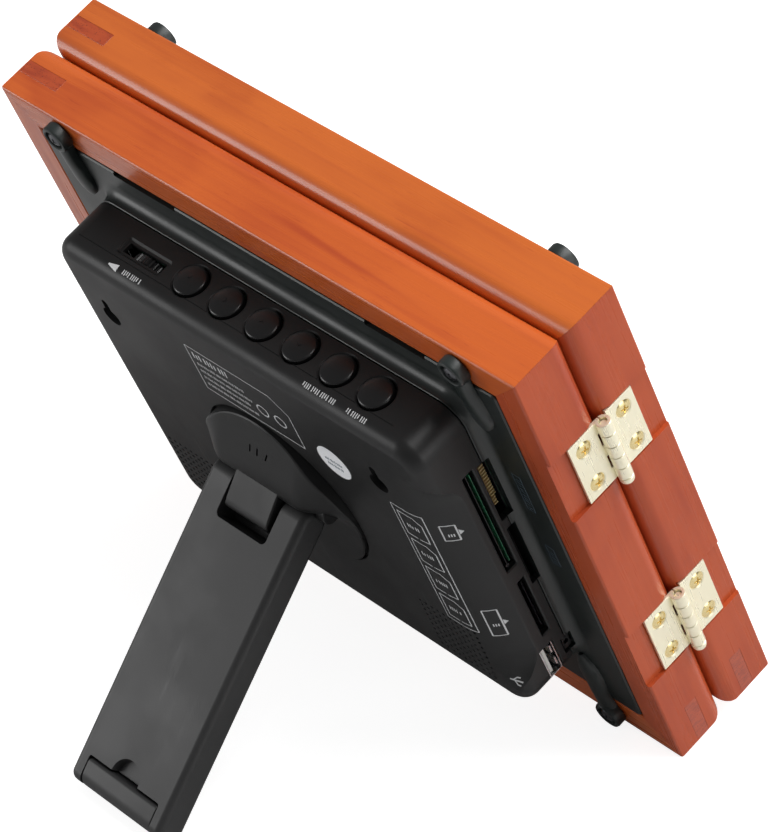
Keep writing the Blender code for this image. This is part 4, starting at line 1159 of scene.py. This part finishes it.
SHEET_THICK = 0.0003
tube = stack(socket_low.y, socket_high.y, socket_low.z, socket_high.z, 0.0004,
             [(socket_low.x, 0), (socket_high.x, 0)], SIDE, 3)
tube = cut(tube, stack(socket_low.y + SHEET_THICK, socket_high.y - SHEET_THICK,
                       socket_low.z + SHEET_THICK, socket_high.z - SHEET_THICK, 0.0002,
                       [(socket_low.x - 0.002, 0), (socket_high.x - 0.001, 0)], SIDE, 3))
for z in (socket_low.z + 0.0035, socket_high.z - 0.0035):
    tube = cut(tube, box(socket_low.x + 0.0012, socket_low.x + 0.0052, socket_high.y - 0.0008,
                         socket_high.y + 0.001, z - 0.0009, z + 0.0009))
piece("socket_steel_shell", tube, NICKEL, "root", "steel", "usb_port")
tongue_low = socket_high.y - 0.0020
tongue = stack(tongue_low, tongue_low + 0.0014, socket_low.z + 0.0010, socket_high.z - 0.0010, 0.0002,
               [(socket_low.x + 0.0006, -0.0002), (socket_low.x + 0.0009, 0),
                (socket_high.x - 0.0011, 0)], SIDE, 2)
piece("socket_white_tongue", tongue, WHITE_TONGUE, "root", "mat_card")
PADS, PAD_PITCH = 4, 0.0025
pads = []
for z in [socket_low.z + 0.0019 + PAD_PITCH * number for number in range(PADS)]:
    pads.append(stack(tongue_low - 0.00016, tongue_low - 0.00002, z, z + 0.0010, 0.0001,
                      [(socket_low.x + 0.0014, 0), (socket_high.x - 0.003, 0)], SIDE, 1))
piece("socket_contacts", together(pads), GOLD, "root", "brass")
fingers = [stack(socket_low.y + 0.0005, socket_low.y + 0.0014, z - 0.0017, z + 0.0017, 0.0003,
                 [(socket_low.x + 0.0004, -0.0002), (socket_low.x + 0.0007, 0),
                  (socket_low.x + 0.0055, 0)], SIDE, 2)
           for z in (socket_low.z + 0.0036, socket_high.z - 0.0036)]
piece("socket_spring_fingers", together(fingers), NICKEL, "root", "steel")

jack_middle = (jack_low + jack_high) / 2
bm = stack(jack_low.y, jack_high.y, jack_low.z, jack_high.z, 0.0004,
           [(jack_low.x + 0.0003, -0.0003), (jack_low.x + 0.0006, 0), (jack_high.x, 0)], SIDE, 3)
well = turned([(0.0011, -0.002), (0.0009, 0.0007), (0.0008, 0.007)],
              (jack_low.x, jack_middle.y, jack_middle.z), (1, 0, 0), 24)
piece("square_power_jack", cut(bm, well), BUTTON_BLACK, "root", "button_plastic", "power_jack")
pin = turned([(0.0002, 0.0014), (0.0004, 0.0017), (0.0004, 0.0068)],
             (jack_low.x, jack_middle.y, jack_middle.z), (1, 0, 0), 16)
piece("power_jack_pin", pin, NICKEL, "root", "steel")
print("socket mouth", round((socket_high.z - socket_low.z) * 1000, 1), "mm long")

# %% [markdown]
# The stand's disc looks like a wedge sliced off a drum: flush at its top rim, it rises to a
# ridge where the leg pivots and falls away below. It is a round height map: rings and spokes
# of points, each lifted by a soft wedge that dies away towards the rim. The lug and the
# three engraved strokes are added to it.

# %% Stand disc
LEG_PIN = pivot("leg_fold")
RISE = LEG_PIN.y - BACK
RIDGE_Z = LEG_PIN.z - DISC.z + 0.0066
RIDGE_UP = RISE - 0.0004
PLATE_UP = 0.0010


def smooth_slope(value):
    """A straight climb that eases in and stops at 1."""
    value = min(max(value, 0.0), 1.0)
    return value - 0.06 * math.sin(math.tau * value)


def disc_height(u, v):
    """How far the disc stands above the shell at a place on it."""
    upper = smooth_slope((DISC_R - v) / (DISC_R - RIDGE_Z))
    lower = smooth((v - RIDGE_Z + 0.0105) / 0.0100)
    flank = 0.12 + 0.88 * smooth((0.0300 - abs(u)) / 0.0150)
    return PLATE_UP + (RIDGE_UP - PLATE_UP) * (upper if v > RIDGE_Z else lower) * flank


def spoke_places(radius):
    """Places evenly round a ring of the disc."""
    angles = [math.tau * spoke / SPOKES for spoke in range(SPOKES)]
    return [(radius * math.cos(angle), radius * math.sin(angle)) for angle in angles]


RINGS = 40
SPOKES = 120
HUB_R = 0.0089
bm = bmesh.new()
centre = bm.verts.new((0, disc_height(0, 0), 0))
rows = []
for ring_number in range(1, RINGS + 1):
    radius = (DISC_R - 0.0003) * (ring_number / RINGS) ** 0.8
    rows.append([bm.verts.new((u, disc_height(u, v), v)) for u, v in spoke_places(radius)])
for radius, share, level in ((DISC_R, 1, -0.0003), (DISC_R, 0, -0.0010),
                             (HUB_R, 0, -0.0010), (HUB_R, 0, -0.0035)):
    rows.append([bm.verts.new((u, share * disc_height(u, v) + level, v))
                 for u, v in spoke_places(radius)])
for spoke in range(SPOKES):
    after = (spoke + 1) % SPOKES
    bm.faces.new((centre, rows[0][after], rows[0][spoke]))
    for first, second in zip(rows, rows[1:]):
        bm.faces.new((first[spoke], first[after], second[after], second[spoke]))
bm.faces.new(rows[-1])
bmesh.ops.recalc_face_normals(bm, faces=bm.faces)

LUG_HALF = 0.0088
lug_z = LEG_PIN.z - DISC.z
lug_side = [(PLATE_UP - 0.0008, RIDGE_Z + 0.0030), (RIDGE_UP - 0.0004, RIDGE_Z + 0.0006)]
lug_side += [(RISE + 0.0062, lug_z + 0.0016)] + arc(RISE + 0.0056, lug_z - 0.0006, 0.0020, 60, -60, 6)
lug_side += [(RISE + 0.0052, lug_z - 0.0034), (PLATE_UP - 0.0008, lug_z - 0.0090)]
lug = soften(prism(lug_side, -LUG_HALF, LUG_HALF, SIDE), 0.0005, 3, 25,
             lambda co: abs(abs(co.x) - LUG_HALF) < HAIR and co.y > PLATE_UP)
bm = cut(bm, lug, "UNION")
BEARING_X, BEARING_LONG = 0.0212, 0.0034
bearing = [(0.0030, 0), (0.0034, 0.0004), (0.0034, 0.0030), (0.0030, BEARING_LONG)]
bearings = [turned(bearing, (side * BEARING_X - BEARING_LONG / 2, RISE - 0.0062, lug_z + 0.0014),
                   (1, 0, 0), 24) for side in (-1, 1)]
bm = cut(bm, together(bearings), "UNION")
bm = cut(bm, turned([(0.0015, -0.03), (0.0015, 0.03)], (0, RISE, lug_z), (1, 0, 0), 20))
for middle_u, lean in ((-0.0042, -18), (-0.0008, 0), (0.0022, 0)):
    groove = box(-0.00030, 0.00030, PLATE_UP - 0.0003, PLATE_UP + 0.004, -0.0022, 0.0022)
    slant = Matrix.Translation((middle_u, 0, 0.0190)) @ Matrix.Rotation(math.radians(lean), 4, "Y")
    bmesh.ops.transform(groove, matrix=slant, verts=groove.verts)
    bm = cut(bm, groove)
piece("wedge_disc", bm, SHELL_BLACK, "stand_disc", "satin_black_plastic", "stand_disc",
      at=LEAN @ Matrix.Translation((DISC.x, BACK, DISC.z)), smooth=32)
print("disc radius", round(DISC_R, 4), "lug reaches", round(RISE + 0.0076, 4))

# %% [markdown]
# The leg is a flat bar with a full round at its pivot and a fork that straddles the lug, with
# a thin web closing the fork underneath. Its side view is lofted across its width and drawn
# in near both sides, which rounds the long edges. It is drawn folded flat about its own pin
# and then swung out by the joint's own angle. A flap let into the foot has a finger scoop
# above it.

# %% Leg and foot flap
LEG_OPEN = math.radians(-min(joints["leg_fold"]["range_deg"]))
LEG_AT = Matrix.Translation(LEG_PIN) @ Matrix.Rotation(LEG_OPEN, 4, "X")
LEG_LONG, LEG_HALF, LEG_TOP, LEG_UNDER = 0.0980, 0.0195, 0.0038, -0.0067
FLAP_Y, FLAP_Z, FLAP_R, FLAP_HALF = -0.0005, -0.0940, 0.0043, 0.0148
middle_y = (LEG_TOP + LEG_UNDER) / 2
LEG_ROUND, TIP = 0.0022, 0.0030


def leg_ring(x, inset):
    """The leg's side view at one place across it, drawn in by the rounding of its long edges."""
    points = arc(middle_y, 0, (LEG_TOP - LEG_UNDER) / 2 - inset, 0, 180, 20)
    points += arc(LEG_UNDER + TIP, -LEG_LONG + TIP, TIP - inset, 180, 270, 6)
    points += arc(LEG_TOP - TIP, -LEG_LONG + TIP, TIP - inset, 270, 360, 6)
    return [Vector((x, y, z)) for y, z in points]


bends = [math.radians(angle) for angle in range(90, -1, -15)]
half_rings = [(LEG_HALF - LEG_ROUND * (1 - math.sin(bend)), LEG_ROUND * (1 - math.cos(bend)))
              for bend in bends]
rings = [leg_ring(-x, inset) for x, inset in half_rings]
rings += [leg_ring(x, inset) for x, inset in reversed(half_rings)]
bm = loft(rings)
FOOT_R, HEAD_R = 0.0032, 0.0016
head_z = (LEG_TOP - LEG_UNDER) / 2 - 0.0008
plan = arc(-LEG_HALF + FOOT_R, -LEG_LONG + FOOT_R, FOOT_R, 180, 270, 6)
plan += arc(LEG_HALF - FOOT_R, -LEG_LONG + FOOT_R, FOOT_R, 270, 360, 6)
plan += arc(LEG_HALF - HEAD_R, head_z, HEAD_R, 0, 90, 4)
plan += arc(-LEG_HALF + HEAD_R, head_z, HEAD_R, 90, 180, 4)
bm = cut(bm, prism(plan, -0.02, 0.02), "INTERSECT")
notch_half, notch_floor, notch_r = 0.0102, -0.0106, 0.0016
notch = [(-notch_half, 0.02)]
notch += arc(-notch_half + notch_r, notch_floor + notch_r, notch_r, 180, 270, 5)
notch += arc(notch_half - notch_r, notch_floor + notch_r, notch_r, 270, 360, 5)
notch += [(notch_half, 0.02)]
web_z, web_y = -0.0088, -0.0046
bm = cut(bm, prism(notch, web_y, 0.02))
bm = cut(bm, box(-notch_half, notch_half, LEG_UNDER - 0.002, web_y + 0.001, web_z, 0.02))
bm = soften(bm, 0.0005, 3, 50)
room = FLAP_HALF + 0.0003
FLAP_TALL = 0.0046
head = FLAP_Z + FLAP_TALL + 0.0006
bed = [(-0.0018, head), (0.010, head), (0.010, -0.110), (FLAP_Y - FLAP_R - 0.0003, -0.110)]
pocket = prism(bed + arc(FLAP_Y, FLAP_Z, FLAP_R + 0.0003, 180, 110, 8), -room, room, SIDE)
bm = cut(bm, soften(pocket, 0.0014, 4, 30, lambda co: co.z > head - 0.0004 and co.y > LEG_UNDER))
scoop = turned([(0.0050, 0.0012), (0.0053, 0.0030), (0.0058, 0.0042)], (0, 0, head), (0, 1, 0), 40)
bm = cut(bm, scoop)
bm = cut(bm, turned([(0.0016, -0.016), (0.0016, 0.016)], (0, 0, 0), (1, 0, 0), 20))
stub_hole = [(0.0013, -room - 0.0016), (0.0013, room + 0.0016)]
bm = cut(bm, turned(stub_hole, (0, FLAP_Y, FLAP_Z), (1, 0, 0), 16))
piece("prop_leg", bm, LEG_GREY, "leg", "leg_plastic", "leg", at=LEAN @ LEG_AT)

flap_top = LEG_TOP - FLAP_Y
flap_side = arc(0, 0, flap_top, 0, -180, 20)
flap_side += [(-0.0009, FLAP_TALL / 2), (-0.0007, FLAP_TALL), (flap_top, FLAP_TALL)]
bm = prism(flap_side, -FLAP_HALF, FLAP_HALF, SIDE)
bm = soften(bm, 0.0013, 4, 40, lambda co: co.z > FLAP_TALL - 0.0003)
bm = soften(bm, 0.0003, 2, 40)
stubs = turned([(0.0011, -FLAP_HALF - 0.0013), (0.0011, FLAP_HALF + 0.0013)], (0, 0, 0), (1, 0, 0), 16)
bm = cut(bm, stubs, "UNION")
piece("swing_foot_flap", bm, LEG_GREY, "foot_flap", "leg_plastic", "foot_flap",
      at=LEAN @ LEG_AT @ Matrix.Translation((0, FLAP_Y, FLAP_Z)))
print("leg opens", round(math.degrees(LEG_OPEN), 1), "degrees")

# %% [markdown]
# Printed marks are ink a few hundredths of a millimetre thick. They carry no words: rows of
# thin upright bars stand where small print goes, with plain outlines, arrows and card shapes.
# A mark is drawn flat, and a function for each surface lays it on the flat back and its scoop,
# on the rolled edge, on the flange or on the sticker.

# %% Printed marks
INK = 0.00004


def on_back(u, v, lift):
    """A place on the back face, or in its scoop, seen from behind."""
    sunk = scoop_depth(u, v)
    return Vector((u, BACK - sunk + lift + min(sunk * 0.2, 0.00007), v))


def on_roll(u, v, lift):
    """A place on the rolled edge above the back face; v runs round the roll from the deck."""
    angle = v / ROLL
    radius = ROLL + lift + INK / 2
    return Vector((u, BACK - ROLL + radius * math.sin(angle), DECK - ROLL + radius * math.cos(angle)))


def on_flange(u, v, lift):
    """A place on the tray's flat flange."""
    return Vector((u, FLANGE_TOP + lift, v))


def on_sticker(u, v, lift):
    """A place on top of the round sticker."""
    return on_back(u, v, lift + 0.00011)


def patch(surface, corners):
    """A thin patch of ink over a convex outline."""
    rings = [[surface(u, v, lift) for u, v in corners] for lift in (-INK, INK)]
    return loft(rings)


def stroke(surface, first, last, wide):
    """A straight line of ink."""
    along = Vector(last) - Vector(first)
    side = Vector((-along.y, along.x)).normalized() * wide / 2
    a, b = Vector(first), Vector(last)
    return patch(surface, [a - side, b - side, b + side, a + side])


def outline_marks(surface, corners, wide, parts=1):
    """Strokes round an outline."""
    made = []
    for first, last in zip(corners, corners[1:] + corners[:1]):
        for part in range(parts):
            a = Vector(first).lerp(Vector(last), part / parts)
            b = Vector(first).lerp(Vector(last), (part + 1) / parts)
            made.append(stroke(surface, a, b, wide))
    return made


def small_print(surface, u0, u1, v, tall, seed):
    """A row of thin upright bars of slightly uneven height, in place of words."""
    made = []
    thin = tall * 0.20
    u, turn = u0, seed
    while u < u1 - thin:
        high = tall * (0.95 if (turn * 7) % 5 else 0.75)
        made.append(patch(surface, [(u, v), (u + thin, v), (u + thin, v + high), (u, v + high)]))
        u += thin * (2.4 if (turn * 3) % 4 else 3.6)
        turn += 1
    return made


def arrowhead(surface, tip_u, base_u, middle_v, half, slices=5):
    """A filled triangle laid down in narrow slices, so it follows a curved surface."""
    made = []
    for number in range(slices):
        v0 = middle_v - half + 2 * half * number / slices
        v1 = v0 + 2 * half / slices
        ends = [base_u + (tip_u - base_u) * (1 - abs(v - middle_v) / half) + HAIR for v in (v0, v1)]
        made.append(patch(surface, [(base_u, v0), (ends[0], v0), (ends[1], v1), (base_u, v1)]))
    return made


marks = []
label_u0, label_u1, label_v0, label_v1 = -0.0225, 0.0180, 0.1168, 0.1364
label = [(label_u0, label_v0), (label_u1, label_v0), (label_u1, label_v1),
         (label_u0 + 0.006, label_v1), (label_u0, label_v1 - 0.005)]
marks += outline_marks(on_back, label, 0.00028)
marks += small_print(on_back, 0.0020, 0.0162, 0.1318, 0.0028, 2)
for row in range(4):
    row_start, row_v = -0.0030 - 0.002 * (row % 2), 0.1286 - 0.0030 * row
    marks += small_print(on_back, row_start, 0.0162, row_v, 0.0012, 3 + row)
for seal_u in (-0.0088, -0.0160):
    marks += outline_marks(on_back, arc(seal_u, 0.1245, 0.0022, 0, 330, 12), 0.00045)

column_u0, column_u1, column_v0, column_v1 = -0.0676, -0.0562, 0.0630, 0.1170
column = [(column_u0, column_v0), (column_u1, column_v0), (column_u1, column_v1),
          (column_u0, column_v1)]
marks += outline_marks(on_back, column, 0.00025, 8)
CARD_PITCH, CARD_TALL = 0.0130, 0.0104
for row in range(4):
    low = 0.0652 + CARD_PITCH * row
    card_u0, card_u1 = column_u0 + 0.0016, column_u1 - 0.0016
    card = [(card_u0, low), (card_u1, low), (card_u1, low + CARD_TALL),
            (column_u0 + 0.0040, low + CARD_TALL), (card_u0, low + 0.0080)]
    marks += outline_marks(on_back, card, 0.00030, 3)
    marks += small_print(on_back, column_u0 + 0.0036, column_u1 - 0.0034, low + 0.0042, 0.0018, row)

for low, high in ((0.1072, 0.1138), (0.0622, 0.0742)):
    card = [(-0.0746, low), (-0.0712, low), (-0.0712, high), (-0.0746, high)]
    marks += outline_marks(on_back, card, 0.00030, 2)
    middle_v = (low + high) / 2
    arrow = [(-0.0758, middle_v), (-0.0749, middle_v - 0.0011), (-0.0749, middle_v + 0.0011)]
    marks.append(patch(on_back, arrow))
    marks += small_print(on_back, -0.0738, -0.0720, middle_v - 0.0016, 0.0012, 1)

trident = (-0.0722, 0.0440)
marks.append(stroke(on_back, trident, (trident[0] - 0.0042, trident[1]), 0.00035))
for side, start in ((1, 0.0010), (-1, 0.0016)):
    bend = (trident[0] - start - 0.0012, trident[1] + side * 0.0010)
    marks.append(stroke(on_back, (trident[0] - start, trident[1]), bend, 0.0003))
    marks.append(stroke(on_back, bend, (bend[0] - 0.0010, bend[1]), 0.0003))

marks += small_print(on_roll, 0.0330, 0.0412, 0.0004, 0.0016, 4)
marks += arrowhead(on_roll, 0.0472, 0.0426, 0.0012, 0.0011)
marks += small_print(on_roll, -0.0462, -0.0330, 0.0006, 0.0016, 6)
marks += small_print(on_roll, -0.0582, -0.0508, 0.0006, 0.0016, 2)
piece("white_printed_marks", together(marks), WHITE_INK, "root", "mat_card", smooth=20)

cool = []
for low, high in ((0.1062, 0.1220), (0.0812, 0.0894)):
    frame_of_it = [(-0.0856, low), (-0.0826, low), (-0.0826, high), (-0.0856, high)]
    cool += outline_marks(on_flange, frame_of_it, 0.00016, 3)
    for step in range(int((high - low) / 0.0014) - 1):
        z = low + 0.0012 + 0.0014 * step
        cool.append(stroke(on_flange, (-0.0849, z), (-0.0833, z + 0.0002 * (step % 3)), 0.00022))
piece("rim_printed_marks", together(cool), BLUE_INK, "root", "mat_card", smooth=20)

spot = (-0.0354, 0.1197)
sticker = turned([(0.0062, -INK), (0.0062, 0.00008), (0.0061, 0.0001)],
                 (spot[0], BACK, spot[1]), (0, 1, 0), 48)
piece("round_sticker", sticker, STICKER, "root", "print_paper")
rows_of_bars = small_print(on_sticker, spot[0] - 0.0034, spot[0] + 0.0036, spot[1], 0.0012, 5)
rows_of_bars += small_print(on_sticker, spot[0] - 0.0030, spot[0] + 0.0030, spot[1] - 0.0022, 0.0012, 7)
piece("sticker_print", together(rows_of_bars), BLUE_INK, "root", "mat_card", smooth=20)
print("printed marks:", len(marks))

# %% [markdown]
# The working pieces that already have their true shape keep it, and only change their
# finish: the screen, mats, boards, glass, card cage, speakers, washer and pin.

# %% Finishes for the pieces that stay
KEPT = {
    "lcd_panel": SCREEN, "display_mat": MAT_CARD, "main_board": CIRCUIT, "card_reader": SLOT_BLACK,
    "speaker_left": SLOT_BLACK, "speaker_right": SLOT_BLACK, "disc_retainer": NICKEL,
    "leg_pin": NICKEL, "glass_pane": GLASS, "picture_mat": MAT_CARD, "photo_print": PRINT,
    "backing_board": FIBREBOARD,
}
for name, material in KEPT.items():
    mesh = frame["nodes"][name].data
    mesh.materials.clear()
    mesh.materials.append(material)
shown = [name for name, part in frame["nodes"].items() if not part.hide_render]
print("pieces kept as they are:", sorted(shown))

# %% [markdown]
# The floor is one wide sheet of pale card, so large that the camera never sees its edge. It
# glows a little to the camera alone, which keeps it white without lighting the frame.

# %% Floor
FLOOR, tree, shader, place = finish("pale_floor", 0.7)
cloudy = noise(tree, place, 3, 2, 0.5)
tree.links.new(mix(tree, cloudy, (0.55, 0.55, 0.55, 1), (0.60, 0.60, 0.60, 1)), shader.inputs["Base Color"])
seen = add(tree, "ShaderNodeLightPath").outputs["Is Camera Ray"]
tree.links.new(sums(tree, "MULTIPLY", seen, 0.85), shader.inputs["Emission Strength"])
shader.inputs["Emission Color"].default_value = (1, 1, 1, 1)
FLOOR_HALF = 3.0
corners = [(-FLOOR_HALF, -FLOOR_HALF), (FLOOR_HALF, -FLOOR_HALF), (FLOOR_HALF, FLOOR_HALF),
           (-FLOOR_HALF, FLOOR_HALF)]
mesh = bpy.data.meshes.new("pale_floor")
bm = prism(corners, -0.01, 0.0, TOP)
bm.to_mesh(mesh)
bm.free()
mesh.materials.append(FLOOR)
floor = bpy.data.objects.new("pale_floor", mesh)
scene.collection.objects.link(floor)
print("floor", FLOOR_HALF * 2, "m wide")

# %% [markdown]
# Last, the view layer is brought up to date. The pieces must stay inside the box of the
# working model.

# %% Final update
bpy.context.view_layer.update()
